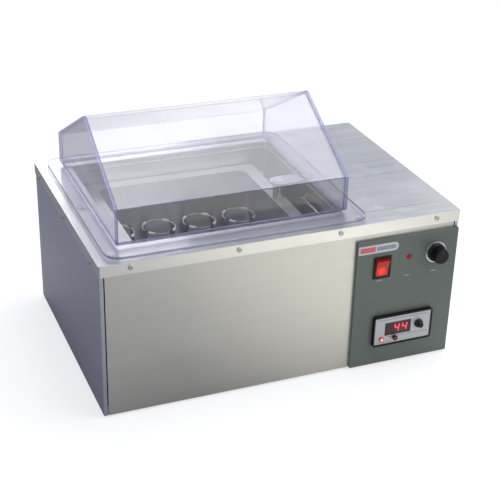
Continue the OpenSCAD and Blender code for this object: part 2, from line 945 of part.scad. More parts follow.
module indicator_lamps() {
  color("red") {
    lamp(lamp_x, lamp_z, panel_y, 4.1, 3.1, 14);
    lamp(unit_lamp_x, unit_lamp_z, plate_front, 3.6, 2.8, 3);
  }
}

module speed_dial() {
  color("silver")
    difference() {
      bar_y(knob_x, [panel_y - dial_t, panel_y], knob_z, dial_r);
      bar_y(knob_x, [panel_y - 2, panel_y + 1], knob_z, 3.6);
    }
}

module speed_potentiometer() {
  color("goldenrod")
    difference() {
      union() {
        bar_y(knob_x, [panel_back, panel_back + 12], knob_z, 12);
        bar_y(knob_x, [panel_y - 4.5, panel_back + e], knob_z, 3.5);
        translate([knob_x, panel_y - dial_t, knob_z])
          rotate([90, 0, 0])
            cylinder(h = 2.2, r = 6.4, $fn = 6);
        block([knob_x - 8, knob_x + 8], [panel_back + 4, panel_back + 5.5], [knob_z - 18, knob_z - 8]);
      }
      bar_y(knob_x, [panel_y - 5, panel_back + 10], knob_z, 3.05);
    }
}

module speed_knob() {
  back = panel_y - dial_t - 1;
  front = panel_y - knob_h;
  color("black") {
    difference() {
      union() {
        bar_y(knob_x, [back - 4, back], knob_z, 13.8);
        bar_y(knob_x, [front + 1, back - 4 + e], knob_z, 11.5);
        bar_y(knob_x, [front, front + 1 + e], knob_z, 10.6);
      }
      bar_y(knob_x, [back - 3.5, back + 1], knob_z, 7.6);
      for (i = [0:19])
        translate([knob_x, 0, knob_z])
          rotate([0, 18 * i, 0])
            bar_y(11.9, [front - 1, back - 4], 0, 0.9);
    }
    bar_y(knob_x, [back - 3.6, panel_back + 9], knob_z, 3);
  }
}

module controller_case() {
  cx = unit_x0 + unit_w / 2;
  cz = unit_z1 - unit_h / 2;
  color("black")
    difference() {
      union() {
        translate([cx, panel_y, cz])
          rotate([90, 0, 0])
            linear_extrude(unit_lip)
              round_rect(unit_w, unit_h, 4);
        block([cx - 44.8, cx + 44.8], [panel_y - e, panel_y + 68], [cz - 21.6, cz + 21.6]);
      }
      block([cx - 45, cx + 45], [unit_front - 1, plate_front + plate_t], [cz - 21.8, cz + 21.8]);
      bar_y(unit_lamp_x, [plate_front, plate_front + 3.2], unit_lamp_z, 2.9);
      bar_y(set_x, [plate_front, plate_front + 12], set_z, 1.55);
      bar_y(button_x, [plate_front, plate_front + 9], button_z, 2.7);
    }
}

module controller_face() {
  cx = unit_x0 + unit_w / 2;
  cz = unit_z1 - unit_h / 2;
  color("lightsteelblue")
    difference() {
      block([cx - 44.9, cx + 44.9], [plate_front, plate_front + plate_t], [cz - 21.7, cz + 21.7]);
      block([window_x0, window_x0 + window_w], [plate_front - 1, plate_front + 2],
            [window_z1 - window_h, window_z1]);
      bar_y(unit_lamp_x, [plate_front - 1, plate_front + 2], unit_lamp_z, 2.9);
      bar_y(set_x, [plate_front - 1, plate_front + 2], set_z, 1.8);
      bar_y(button_x, [plate_front - 1, plate_front + 2], button_z, 2.7);
    }
}

module display_window() {
  color("maroon")
    block([window_x0 + 0.1, window_x0 + window_w - 0.1], [plate_front + 0.6, plate_front + plate_t],
          [window_z1 - window_h + 0.1, window_z1 - 0.1]);
}

// One bar of a seven-bar numeral that leans to the right
module numeral_bar(from, to, half) {
  lean = 0.12;
  along = (to - from) / norm(to - from);
  across = [-along[1], along[0]] * half;
  ends = [from, from + along * half + across, to - along * half + across,
          to, to - along * half - across, from + along * half - across];
  polygon([for (p = ends) [p[0] + lean * p[1], p[1]]]);
}

// The numeral four: two upright bars on the right, one at the upper left and the middle bar
module numeral_four(w, h) {
  gap = 0.25;
  half = 0.75;
  numeral_bar([w, gap], [w, h / 2 - gap], half);
  numeral_bar([w, h / 2 + gap], [w, h - gap], half);
  numeral_bar([0, h / 2 + gap], [0, h - gap], half);
  numeral_bar([gap, h / 2], [w - gap, h / 2], half);
}

module display_digits() {
  color("red")
    for (x = [15.5, 28])
      translate([window_x0 + x, plate_front + 0.6, window_z1 - window_h / 2 - 6])
        rotate([90, 0, 0])
          linear_extrude(0.3)
            numeral_four(6.5, 12);
}

module set_knob() {
  color("black") {
    bar_y(set_x, [plate_front - 3.5, plate_front - 0.5], set_z, 6.4);
    difference() {
      bar_y(set_x, [plate_front - 9.5, plate_front - 3.5 + e], set_z, 4.2);
      block([set_x - 0.4, set_x + 0.4], [plate_front - 10, plate_front - 8.9], [set_z, set_z + 5]);
    }
    bar_y(set_x, [plate_front - 0.5 - e, plate_front + 11], set_z, 1.5);
  }
}

module set_button() {
  color("black") {
    bar_y(button_x, [plate_front - 4.4, plate_front + 6], button_z, 2.6);
    bar_y(button_x, [plate_front - 4.4, plate_front - 2.4], button_z, 3.8);
  }
}

// ---- Electrics ----

module speed_board() {
  board_x = inner_x - 13.5;
  color("seagreen") {
    block([board_x, board_x + 1.6], [25, 125], [70, 165]);
    for (y = [31, 119], z = [76, 159])
      bar_x([board_x + 1.6, inner_x], y, z, 3);
    block([board_x - 30, board_x], [34, 70], [80, 118]);
    block([board_x - 22, board_x], [84, 88], [78, 118]);
    bar_x([board_x - 24, board_x], 56, 142, 9);
    bar_x([board_x - 24, board_x], 80, 142, 9);
    block([board_x - 14, board_x], [96, 106], [128, 156]);
  }
}

module mains_inlet() {
  socket_z = inlet_z - 10;
  color("black")
    difference() {
      union() {
        translate([inlet_x, face_y, inlet_z])
          rotate([-90, 0, 0])
            linear_extrude(2.5)
              round_rect(34, 52, 3);
        block([inlet_x - 13.8, inlet_x + 13.8], [face_y - 27, face_y + e], [inlet_z - 22.8, inlet_z + 22.8]);
      }
      difference() {
        block([inlet_x - 12.2, inlet_x + 12.2], [face_y - 14.5, face_y + 3], [socket_z - 8.5, socket_z + 8.5]);
        for (pin = [[-7, 2], [0, 5], [7, 2]])
          translate([inlet_x + pin[0], 0, socket_z + pin[1]])
            block([-1, 1], [face_y - 16, face_y - 3.5], [-2, 2]);
      }
      block([inlet_x - 10, inlet_x + 10], [face_y - 19, face_y + 3], [inlet_z + 6, inlet_z + 19]);
    }
}

module fuse_drawer() {
  color("dimgray") {
    block([inlet_x - 9.8, inlet_x + 9.8], [face_y - 17, face_y + 2.5 + e], [inlet_z + 6.2, inlet_z + 18.8]);
    block([inlet_x - 11, inlet_x + 11], [face_y + 2.5, face_y + 4], [inlet_z + 5, inlet_z + 20]);
  }
}

// ---- Lid ----

// The lid's outline across its width, outer faces
gable = [[lid_y0, lid_z0], [lid_y1, lid_z0], [lid_y1, lid_z3], [ridge_y, lid_z2], [lid_y0, lid_z1]];

// The same outline one sheet's thickness further in, open at the bottom
inner_gable = [
  [lid_y0 + lid_sheet, lid_z0 - 1],
  [lid_y1 - lid_sheet, lid_z0 - 1],
  [lid_y1 - lid_sheet, lid_z3 + back_slope * lid_sheet - back_drop],
  [inner_ridge_y, lid_z2 + front_slope * (inner_ridge_y - ridge_y) - front_drop],
  [lid_y0 + lid_sheet, lid_z1 + front_slope * lid_sheet - front_drop]
];

// Turns an outline in Y and Z into a sheet that runs along X
module along_x(x) {
  translate([x[0], 0, 0])
    rotate([90, 0, 90])
      linear_extrude(x[1] - x[0])
        children();
}

module lid_canopy() {
  color("lightcyan", 0.4)
    along_x([lid_x0 + lid_sheet, lid_x1 - lid_sheet])
      difference() {
        polygon(gable);
        polygon(inner_gable);
      }
}

module lid_left_end() {
  color("lightcyan", 0.4)
    along_x([lid_x0, lid_x0 + lid_sheet])
      polygon(gable);
}

module lid_right_end() {
  color("lightcyan", 0.4)
    along_x([lid_x1 - lid_sheet, lid_x1])
      polygon(gable);
}

module lid_flange() {
  color("lightcyan", 0.4)
    difference() {
      round_plate(lid_flange_cx, lid_flange_cy, lid_flange_w, lid_flange_d, lid_flange_r,
                  [deck_z + bumper_h, lid_flange_top]);
      round_plate(lid_cx, lid_cy, lid_w - 2 * lid_sheet, lid_d - 2 * lid_sheet, 2,
                  [deck_z, lid_flange_top + 1]);
    }
}

module lid_bumpers() {
  color("whitesmoke")
    for (sx = [-1, 1], sy = [-1, 0, 1])
      bar_z(lid_flange_cx + sx * (lid_flange_w / 2 - 10), lid_flange_cy + sy * (lid_flange_d / 2 - 16),
            [deck_z, deck_z + bumper_h], 5);
}

base_plate();
left_side_panel();
right_side_panel();
front_panel();
back_panel();
top_cover();
cover_screws();
feet();
tank();
insulation();
heater_element();
tank_fittings();
temperature_probe();
drain_pipe();
drain_valve();
drain_ball();
drain_handle();
guide_rails();
partition_plate();
motor_bracket();
gearbox();
drive_motor();
arm_guide();
output_shaft();
crank_disc();
crank_bearing();
control_panel();
blank_label();
switch_bezel();
mains_rocker();
indicator_lamps();
speed_dial();
speed_potentiometer();
speed_knob();
controller_case();
controller_face();
display_window();
display_digits();
set_knob();
set_button();
speed_board();
mains_inlet();
fuse_drawer();
carriage_tray();
drive_post();
drive_arm();
roller_axles();
roller_front_left();
roller_front_right();
roller_back_left();
roller_back_right();
clamp_bases();
clamp_prongs();
clamp_rings();
clamp_sleeves();
lid_flange();
lid_canopy();
lid_left_end();
lid_right_end();
lid_bumpers();
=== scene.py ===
"""Finishes and fine detail of a laboratory shaking water bath.

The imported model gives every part's shape, place and motion. This script dresses those parts and
adds the pieces that need finer work than the model holds: the clear lid's sheets and their
cemented joints, the fluted knob, the lamps, the printed marks and the coiled spring rings.
"""
import logging
import math
from collections.abc import Iterable, Sequence
from dataclasses import dataclass, field
from enum import Enum

import bmesh
import bpy
from mathutils import Matrix, Vector


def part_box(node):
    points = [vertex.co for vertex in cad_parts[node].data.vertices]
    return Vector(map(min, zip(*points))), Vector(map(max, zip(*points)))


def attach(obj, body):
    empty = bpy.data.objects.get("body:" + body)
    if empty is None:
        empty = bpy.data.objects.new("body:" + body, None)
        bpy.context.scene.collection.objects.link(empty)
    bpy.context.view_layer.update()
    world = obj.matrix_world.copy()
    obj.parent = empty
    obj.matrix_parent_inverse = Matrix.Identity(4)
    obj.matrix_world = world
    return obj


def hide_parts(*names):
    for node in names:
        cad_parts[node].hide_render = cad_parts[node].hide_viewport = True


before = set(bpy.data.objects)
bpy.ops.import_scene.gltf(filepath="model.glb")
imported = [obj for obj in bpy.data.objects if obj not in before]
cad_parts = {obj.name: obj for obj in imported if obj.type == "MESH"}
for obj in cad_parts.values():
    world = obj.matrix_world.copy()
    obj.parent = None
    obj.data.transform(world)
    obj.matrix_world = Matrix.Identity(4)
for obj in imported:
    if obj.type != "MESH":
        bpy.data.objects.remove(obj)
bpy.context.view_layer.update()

MM = 0.001
Colour = tuple[float, float, float]
Point = tuple[float, float, float]
log = logging.getLogger("water_bath")


class Body(Enum):
    """The moving bodies that pieces ride on."""

    CHASSIS = "chassis"
    CARRIAGE = "carriage"
    LID = "lid"
    SPEED = "speed_control"
    SET = "set_control"
    KEY = "set_key"


class Grain(Enum):
    """How a brushed surface's scratches run, as noise scales along X, Y and Z."""

    ALONG_X = (5.0, 620.0, 620.0)
    ALONG_Y = (620.0, 5.0, 620.0)
    ALONG_Z = (620.0, 620.0, 5.0)
    TURNED = (420.0, 420.0, 420.0)


# ---- Shader building ----


class Shader:
    """A material's node tree, with short names for the nodes that the finishes share."""

    def __init__(self, name: str) -> None:
        """Makes an empty material.

        Args:
            name: The material's name.
        """
        self.material = bpy.data.materials.new(name)
        self.material.use_nodes = True
        self.tree = self.material.node_tree
        self.tree.nodes.clear()
        self.output = self.tree.nodes.new("ShaderNodeOutputMaterial")
        self.place = self.tree.nodes.new("ShaderNodeTexCoord").outputs["Object"]

    def link(self, source: bpy.types.NodeSocket, target: bpy.types.NodeSocket) -> None:
        """Joins two sockets."""
        self.tree.links.new(source, target)

    def stretched(self, scales: Point) -> bpy.types.NodeSocket:
        """Scales the object's coordinates.

        Args:
            scales: The scale along each axis.

        Returns:
            The scaled coordinates.
        """
        mapping = self.tree.nodes.new("ShaderNodeMapping")
        mapping.inputs["Scale"].default_value = scales
        self.link(self.place, mapping.inputs["Vector"])
        return mapping.outputs["Vector"]

    def noise(self, scale: float, detail: float = 2.0,
              at: bpy.types.NodeSocket | None = None) -> bpy.types.NodeSocket:
        """Adds a noise pattern.

        Args:
            scale: Features per metre.
            detail: Octaves of finer noise.
            at: Coordinates, the object's own if left out.

        Returns:
            The pattern, from 0 to 1.
        """
        node = self.tree.nodes.new("ShaderNodeTexNoise")
        node.inputs["Scale"].default_value = scale
        node.inputs["Detail"].default_value = detail
        self.link(at or self.place, node.inputs["Vector"])
        return node.outputs["Fac"]

    def spread(self, source: bpy.types.NodeSocket, low: float, high: float,
               start: float = 0.3, end: float = 0.7) -> bpy.types.NodeSocket:
        """Maps a pattern's middle range onto other limits.

        Args:
            source: The pattern.
            low: The result at start.
            high: The result at end.
            start: Where the range starts in the pattern.
            end: Where it ends.

        Returns:
            The mapped value.
        """
        node = self.tree.nodes.new("ShaderNodeMapRange")
        self.link(source, node.inputs["Value"])
        for name, value in (("From Min", start), ("From Max", end), ("To Min", low), ("To Max", high)):
            node.inputs[name].default_value = value
        return node.outputs["Result"]

    def total(self, first: bpy.types.NodeSocket, second: bpy.types.NodeSocket) -> bpy.types.NodeSocket:
        """Adds two values."""
        node = self.tree.nodes.new("ShaderNodeMath")
        node.operation = "ADD"
        self.link(first, node.inputs[0])
        self.link(second, node.inputs[1])
        return node.outputs[0]

    def blend(self, share: bpy.types.NodeSocket, first: Colour | bpy.types.NodeSocket,
              second: Colour | bpy.types.NodeSocket) -> bpy.types.NodeSocket:
        """Mixes two colours.

        Args:
            share: How much of the second colour there is.
            first: The first colour, plain or from a socket.
            second: The second colour.

        Returns:
            The mixed colour.
        """
        node = self.tree.nodes.new("ShaderNodeMix")
        node.data_type = "RGBA"
        self.link(share, node.inputs["Factor"])
        for socket, colour in ((node.inputs[6], first), (node.inputs[7], second)):
            if isinstance(colour, tuple):
                socket.default_value = (*colour, 1.0)
            else:
                self.link(colour, socket)
        return node.outputs[2]

    def painted_highlight_front_mask(self) -> bpy.types.NodeSocket:
        """Gives 1 on faces that look forward and 0 on the rest, the mask of the painted highlight."""
        place = self.tree.nodes.new("ShaderNodeTexCoord")
        split = self.tree.nodes.new("ShaderNodeSeparateXYZ")
        self.link(place.outputs["Normal"], split.inputs[0])
        return self.spread(split.outputs["Y"], 1.0, 0.0, -0.9, -0.5)

    def bump(self, height: bpy.types.NodeSocket, depth: float, strength: float = 0.6,
             under: bpy.types.NodeSocket | None = None) -> bpy.types.NodeSocket:
        """Raises the surface by a pattern.

        Args:
            height: The pattern.
            depth: The height of its peaks, in metres.
            strength: How strongly it turns the light.
            under: A bump that this one lies on.

        Returns:
            The changed normal.
        """
        node = self.tree.nodes.new("ShaderNodeBump")
        node.inputs["Strength"].default_value = strength
        node.inputs["Distance"].default_value = depth
        self.link(height, node.inputs["Height"])
        if under is not None:
            self.link(under, node.inputs["Normal"])
        return node.outputs["Normal"]

    def surface(self, **inputs: float | tuple | bpy.types.NodeSocket) -> bpy.types.Node:
        """Adds the main shader and shows it.

        Args:
            inputs: Values or sockets by input name, with underscores for spaces.

        Returns:
            The shader node.
        """
        node = self.tree.nodes.new("ShaderNodeBsdfPrincipled")
        for name, value in inputs.items():
            socket = node.inputs[name.replace("_", " ")]
            if isinstance(value, bpy.types.NodeSocket):
                self.link(value, socket)
            else:
                socket.default_value = value
        self.link(node.outputs[0], self.output.inputs["Surface"])
        return node


def shade(colour: Colour, factor: float) -> Colour:
    """Makes a colour darker or lighter."""
    return tuple(min(1.0, channel * factor) for channel in colour)


# ---- Finishes ----


@dataclass(frozen=True)
class BrushedSteel:
    """Stainless sheet with scratches along one way, cloudy hand marks and fine scuffs, and, where front is given, a
    painted highlight: a paler colour on faces that look forward.
    """

    name: str
    tone: Colour = (0.60, 0.60, 0.58)
    grain: Grain = Grain.ALONG_X
    roughness: float = 0.34
    contrast: float = 0.10
    metallic: float = 1.0
    relief: float = 0.5
    # front: the paler colour of a painted highlight on faces that look forward
    front: Colour | None = None

    def build(self) -> bpy.types.Material:
        """Makes the material."""
        shader = Shader(self.name)
        fine = shader.noise(1.0, 4.0, shader.stretched(self.grain.value))
        long = shader.noise(0.16, 3.0, shader.stretched(self.grain.value))
        clouds = shader.noise(7.0, 5.0)
        scuffs = shader.noise(55.0, 6.0)
        streaked = shader.blend(fine, shade(self.tone, 1 - self.contrast), shade(self.tone, 1 + self.contrast))
        banded = shader.blend(shader.spread(long, 0.0, 0.18), streaked, shade(self.tone, 0.86))
        colour = shader.blend(shader.spread(clouds, 0.0, 0.30, 0.45, 0.75), banded, shade(self.tone, 1.12))
        rough = shader.total(shader.spread(fine, self.roughness - 0.07, self.roughness + 0.07),
                             shader.spread(clouds, -0.04, 0.07))
        rough = shader.total(rough, shader.spread(scuffs, 0.0, 0.06, 0.55, 0.75))
        normal = shader.bump(fine, 0.00003, self.relief)
        normal = shader.bump(clouds, 0.0004, 0.12, normal)
        # Painted highlight: faces that look forward are coloured paler.
        if self.front is not None:
            colour = shader.blend(shader.painted_highlight_front_mask(), colour, self.front)
        shader.surface(Base_Color=colour, Metallic=self.metallic, Roughness=rough, Normal=normal)
        return shader.material


@dataclass(frozen=True)
class MachinedMetal:
    """Turned or polished metal with faint tool marks and a little tarnish."""

    name: str
    tone: Colour = (0.72, 0.72, 0.73)
    roughness: float = 0.22
    tarnish: Colour = (0.42, 0.40, 0.36)

    def build(self) -> bpy.types.Material:
        """Makes the material."""
        shader = Shader(self.name)
        marks = shader.noise(1.0, 3.0, shader.stretched(Grain.TURNED.value))
        spots = shader.noise(90.0, 5.0)
        colour = shader.blend(shader.spread(marks, 0.0, 1.0), shade(self.tone, 0.93), shade(self.tone, 1.05))
        colour = shader.blend(shader.spread(spots, 0.0, 0.4, 0.55, 0.8), colour, self.tarnish)
        rough = shader.total(shader.spread(marks, self.roughness - 0.05, self.roughness + 0.05),
                             shader.spread(spots, 0.0, 0.12, 0.5, 0.8))
        shader.surface(Base_Color=colour, Metallic=1.0, Roughness=rough,
                       Normal=shader.bump(marks, 0.00002, 0.4))
        return shader.material


@dataclass(frozen=True)
class Enamel:
    """Baked paint on metal: a faint orange-peel skin, dust and rubbed places."""

    name: str
    tone: Colour
    roughness: float = 0.42
    rubbed: float = 1.35

    def build(self) -> bpy.types.Material:
        """Makes the material."""
        shader = Shader(self.name)
        peel = shader.noise(480.0, 2.0)
        clouds = shader.noise(11.0, 5.0)
        dust = shader.noise(900.0, 3.0)
        colour = shader.blend(shader.spread(clouds, 0.0, 1.0), shade(self.tone, 0.92), shade(self.tone, 1.10))
        colour = shader.blend(shader.spread(dust, 0.0, 0.35, 0.62, 0.82), colour, shade(self.tone, self.rubbed))
        rough = shader.total(shader.spread(clouds, self.roughness - 0.06, self.roughness + 0.08),
                             shader.spread(peel, -0.03, 0.03))
        shader.surface(Base_Color=colour, Metallic=0.0, Roughness=rough, Specular_IOR_Level=0.5,
                       Normal=shader.bump(peel, 0.00006, 0.35))
        return shader.material


@dataclass(frozen=True)
class Moulded:
    """Moulded plastic or rubber with a fine spark-eroded skin."""

    name: str
    tone: Colour
    roughness: float = 0.45
    skin: float = 0.00003
    subsurface: float = 0.0
    specular: float = 0.5

    def build(self) -> bpy.types.Material:
        """Makes the material."""
        shader = Shader(self.name)
        skin = shader.noise(2200.0, 2.0)
        clouds = shader.noise(35.0, 4.0)
        colour = shader.blend(shader.spread(clouds, 0.0, 1.0), shade(self.tone, 0.88), shade(self.tone, 1.16))
        rough = shader.total(shader.spread(clouds, self.roughness - 0.06, self.roughness + 0.08),
                             shader.spread(skin, -0.03, 0.03))
        shader.surface(Base_Color=colour, Roughness=rough, Specular_IOR_Level=self.specular,
                       Subsurface_Weight=self.subsurface, Subsurface_Scale=0.001,
                       Normal=shader.bump(skin, self.skin, 0.4))
        return shader.material


@dataclass(frozen=True)
class Lit:
    """Clear coloured plastic lit from behind, brightest in front of its lamp."""

    name: str
    tone: Colour
    hot: Colour
    glow: float = 1.5
    lamp: Point | None = None
    reach: float = 6.0 * MM
    roughness: float = 0.18

    def build(self) -> bpy.types.Material:
        """Makes the material."""
        shader = Shader(self.name)
        cells = shader.noise(260.0, 3.0)
        colour = shader.blend(shader.spread(cells, 0.0, 1.0), shade(self.tone, 0.82), shade(self.tone, 1.12))
        rough = shader.spread(cells, self.roughness - 0.05, self.roughness + 0.05)
        near = cells
        least = 0.85
        if self.lamp is not None:
            away = shader.tree.nodes.new("ShaderNodeVectorMath")
            away.operation = "DISTANCE"
            away.inputs[1].default_value = self.lamp
            shader.link(shader.place, away.inputs[0])
            near = shader.spread(away.outputs["Value"], 1.0, 0.0, 0.1 * self.reach, self.reach)
            least = 0.12
        strength = shader.spread(near, least * self.glow, self.glow, 0.0, 1.0)
        shader.surface(Base_Color=colour, Roughness=rough, Specular_IOR_Level=0.35,
                       Emission_Color=(*self.hot, 1.0), Emission_Strength=strength,
                       Normal=shader.bump(cells, 0.00004, 0.3))
        return shader.material


@dataclass(frozen=True)
class ClearSheet:
    """Clear cast sheet: what is behind shows through a faint tint, and each face mirrors a little."""

    name: str
    tint: Colour = (0.972, 0.972, 0.984)
    bloom: Colour = (0.86, 0.87, 0.93)
    cover: float = 0.05
    grazing: float = 0.75
    roughness: float = 0.05
    body: float = 0.35

    def build(self) -> bpy.types.Material:
        """Makes the material."""
        shader = Shader(self.name)
        nodes = shader.tree.nodes
        smears = shader.noise(9.0, 5.0)
        skin = shader.surface(
            Base_Color=shader.blend(shader.spread(smears, 0.0, 1.0), shade(self.bloom, 0.95), self.bloom),
            Metallic=1.0 - self.body, Roughness=shader.spread(smears, self.roughness, self.roughness + 0.07))
        clear = nodes.new("ShaderNodeBsdfTransparent")
        clear.inputs["Color"].default_value = (*self.tint, 1.0)
        facing = nodes.new("ShaderNodeLayerWeight")
        facing.inputs["Blend"].default_value = 0.5
        steep = nodes.new("ShaderNodeMath")
        steep.operation = "POWER"
        steep.inputs[1].default_value = 4.0
        shader.link(facing.outputs["Facing"], steep.inputs[0])
        cover = shader.total(shader.spread(steep.outputs[0], 0.0, self.grazing, 0.0, 1.0),
                             shader.spread(smears, 0.8 * self.cover, 1.25 * self.cover))
        mixed = nodes.new("ShaderNodeMixShader")
        shader.link(cover, mixed.inputs[0])
        shader.link(clear.outputs[0], mixed.inputs[1])
        shader.link(skin.outputs[0], mixed.inputs[2])
        shader.link(mixed.outputs[0], shader.output.inputs["Surface"])
        return shader.material


def inside(node: str, across: float, out: float, up: float) -> Point:
    """Gives a point in a node's box, by its share of the way along X, Y and Z."""
    low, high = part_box(node)
    return tuple(low[i] + (high[i] - low[i]) * share for i, share in enumerate((across, out, up)))


DIGITS_LAMP = inside("display_digits", 0.5, 0.5, 0.5)
ROCKER_LAMP = inside("mains_rocker", 0.45, 0.25, 0.30)
PANEL_LAMP = tuple(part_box("indicator_lamps")[1][i] - drop for i, drop in enumerate((4.1 * MM, 4.0 * MM, 4.1 * MM)))

# The finishes of this bath, by what they are on.
CASE_FRONT = BrushedSteel("case_front_steel", (0.62, 0.61, 0.56), Grain.ALONG_X, 0.36, 0.05)
# The side sheets are the front's steel painted darker and bluer, a painted shade.
SHADED_SIDE_STEEL = BrushedSteel("case_side_steel_painted_shade", (0.50, 0.51, 0.56), Grain.ALONG_Y, 0.40, 0.07)
# The deck's front colour is a painted highlight: its skirt's forward faces are painted pale cream.
CASE_DECK = BrushedSteel("case_deck_steel", (0.58, 0.58, 0.58), Grain.ALONG_X, 0.34, 0.04, 1.0, 0.5,
                         (0.80, 0.79, 0.74))
CASE_BASE = BrushedSteel("case_base_steel", (0.45, 0.45, 0.45), Grain.ALONG_X, 0.45, 0.08)
# The rounded folds wear a much paler steel than their sheets, a painted highlight along the folds.
FOLD_PAINTED_HIGHLIGHT = BrushedSteel("folded_edge_painted_highlight", (0.80, 0.80, 0.78), Grain.ALONG_X, 0.28, 0.05)
TANK_STEEL = BrushedSteel("tank_steel", (0.68, 0.67, 0.64), Grain.ALONG_X, 0.34, 0.03, 1.0, 0.08)
TRAY_STEEL = BrushedSteel("tray_steel", (0.54, 0.535, 0.52), Grain.ALONG_Z, 0.36, 0.02, 1.0, 0.0)
STRIP_STEEL = BrushedSteel("strip_steel", (0.60, 0.60, 0.60), Grain.ALONG_X, 0.32, 0.08)
BRIGHT_STEEL = MachinedMetal("bright_steel", (0.78, 0.78, 0.78), 0.20)
RING_STEEL = MachinedMetal("ring_steel", (0.90, 0.84, 0.74), 0.26)
SCREW_STEEL = MachinedMetal("screw_steel", (0.55, 0.53, 0.50), 0.30)
DARK_PRONG = Moulded("dipped_prong", (0.018, 0.018, 0.018), 0.38)
HEATER_STEEL = MachinedMetal("heater_steel", (0.30, 0.28, 0.26), 0.40, (0.16, 0.12, 0.10))
BRASS = MachinedMetal("brass", (0.75, 0.55, 0.26), 0.28, (0.35, 0.24, 0.12))
PANEL_PAINT = Enamel("panel_paint", (0.078, 0.097, 0.086), 0.40)
PANEL_EDGE = Enamel("panel_edge_paint", (0.12, 0.14, 0.13), 0.34)
MOTOR_PAINT = Enamel("motor_paint", (0.06, 0.07, 0.09), 0.45)
BLACK = Moulded("matt_black", (0.004, 0.004, 0.004), 0.50, 0.00003, 0.0, 0.22)
BLACK_EDGE = Moulded("black_edge", (0.010, 0.010, 0.011), 0.38, 0.00003, 0.0, 0.30)
KNOB_BLACK = Moulded("knob_black", (0.003, 0.003, 0.0035), 0.34, 0.00002, 0.0, 0.25)
PLATE = BrushedSteel("silver_plate", (0.40, 0.40, 0.43), Grain.ALONG_X, 0.42, 0.05, 0.5)
DIAL_PLATE = BrushedSteel("dial_silver", (0.62, 0.63, 0.64), Grain.TURNED, 0.30, 0.05, 0.9)
NYLON = Moulded("natural_nylon", (0.78, 0.78, 0.74), 0.40, 0.00003, 0.1)
SLEEVE_PALE = Moulded("sleeve_pale", (0.86, 0.86, 0.84), 0.34, 0.00003, 0.1)
RED_LIT = Lit("rocker_red", (0.24, 0.001, 0.001), (1.0, 0.055, 0.02), 1.0, ROCKER_LAMP, 9.5 * MM)
LAMP_LIT = Lit("lamp_red", (0.25, 0.001, 0.002), (1.0, 0.02, 0.02), 0.65, PANEL_LAMP, 3.6 * MM)
LAMP_RIM = Lit("lamp_rim", (0.14, 0.001, 0.001), (0.4, 0.004, 0.004), 0.2)
LENS_LIT = Lit("small_lamp_red", (0.55, 0.01, 0.01), (1.0, 0.08, 0.06), 1.1)
LAMP_CORE = Lit("lamp_core", (0.8, 0.40, 0.38), (1.0, 0.60, 0.55), 1.6)
DIGIT_LIT = Lit("digit_red", (0.30, 0.004, 0.012), (1.0, 0.065, 0.125), 1.7)
WINDOW = Lit("dark_window", (0.022, 0.014, 0.014), (0.75, 0.01, 0.03), 0.16, DIGITS_LAMP, 13.0 * MM, 0.14)
RED_GRIP = Moulded("red_grip", (0.30, 0.012, 0.014), 0.35)
BOARD = Moulded("board_green", (0.02, 0.16, 0.07), 0.45)
WOOL = Moulded("mineral_wool", (0.55, 0.50, 0.30), 0.95, 0.0004)
RUBBER = Moulded("foot_rubber", (0.015, 0.015, 0.015), 0.75, 0.00006)
CLEAR = ClearSheet("clear_sheet", (0.895, 0.895, 0.91), (0.88, 0.88, 0.92), 0.085)
FLANGE_CLEAR = ClearSheet("flange_sheet", (0.965, 0.965, 0.975), (0.90, 0.90, 0.94), 0.05)
# The flange's side faces are dark and less clear, a painted shadow line under the raised flange.
FLANGE_SIDE_SHADE = ClearSheet("flange_side_painted_shade", (0.52, 0.52, 0.60), (0.30, 0.30, 0.36), 0.55, 0.4, 0.14, 0.7)
# The flange's rounded rim is pale and milky, a painted highlight along its edge.
FLANGE_RIM_HIGHLIGHT = ClearSheet("flange_edge_painted_highlight", (0.84, 0.84, 0.92), (0.90, 0.90, 0.96), 0.12, 0.5, 0.12, 0.5)
SHEET_EDGE = ClearSheet("sheet_edge", (0.50, 0.50, 0.66), (0.40, 0.40, 0.58), 0.28, 0.5, 0.12, 0.7)
CEMENT = ClearSheet("cement_line", (0.82, 0.82, 0.92), (0.88, 0.88, 0.95), 0.35, 0.5, 0.15, 0.6)
PRINT_PALE = Enamel("print_pale", (0.62, 0.66, 0.66), 0.5)
PRINT_DIM = Enamel("print_dim", (0.05, 0.05, 0.055), 0.5)
PRINT_MARK = Enamel("print_mark", (0.24, 0.27, 0.26), 0.5)
PRINT_DARK = Enamel("print_dark", (0.02, 0.025, 0.04), 0.5)
LABEL_RED = Enamel("label_red", (0.46, 0.09, 0.09), 0.4)
LABEL_GREY = Enamel("label_grey", (0.20, 0.21, 0.24), 0.4)
LABEL_SILVER = Enamel("label_silver", (0.42, 0.42, 0.44), 0.35)

AnyFinish = BrushedSteel | MachinedMetal | Enamel | Moulded | Lit | ClearSheet
_made: dict[str, bpy.types.Material] = {}


def material(finish: AnyFinish) -> bpy.types.Material:
    """Gives a finish's material, which is made once.

    Args:
        finish: The finish.

    Returns:
        Its material.
    """
    if finish.name not in _made:
        _made[finish.name] = finish.build()
    return _made[finish.name]


# ---- Mesh building ----


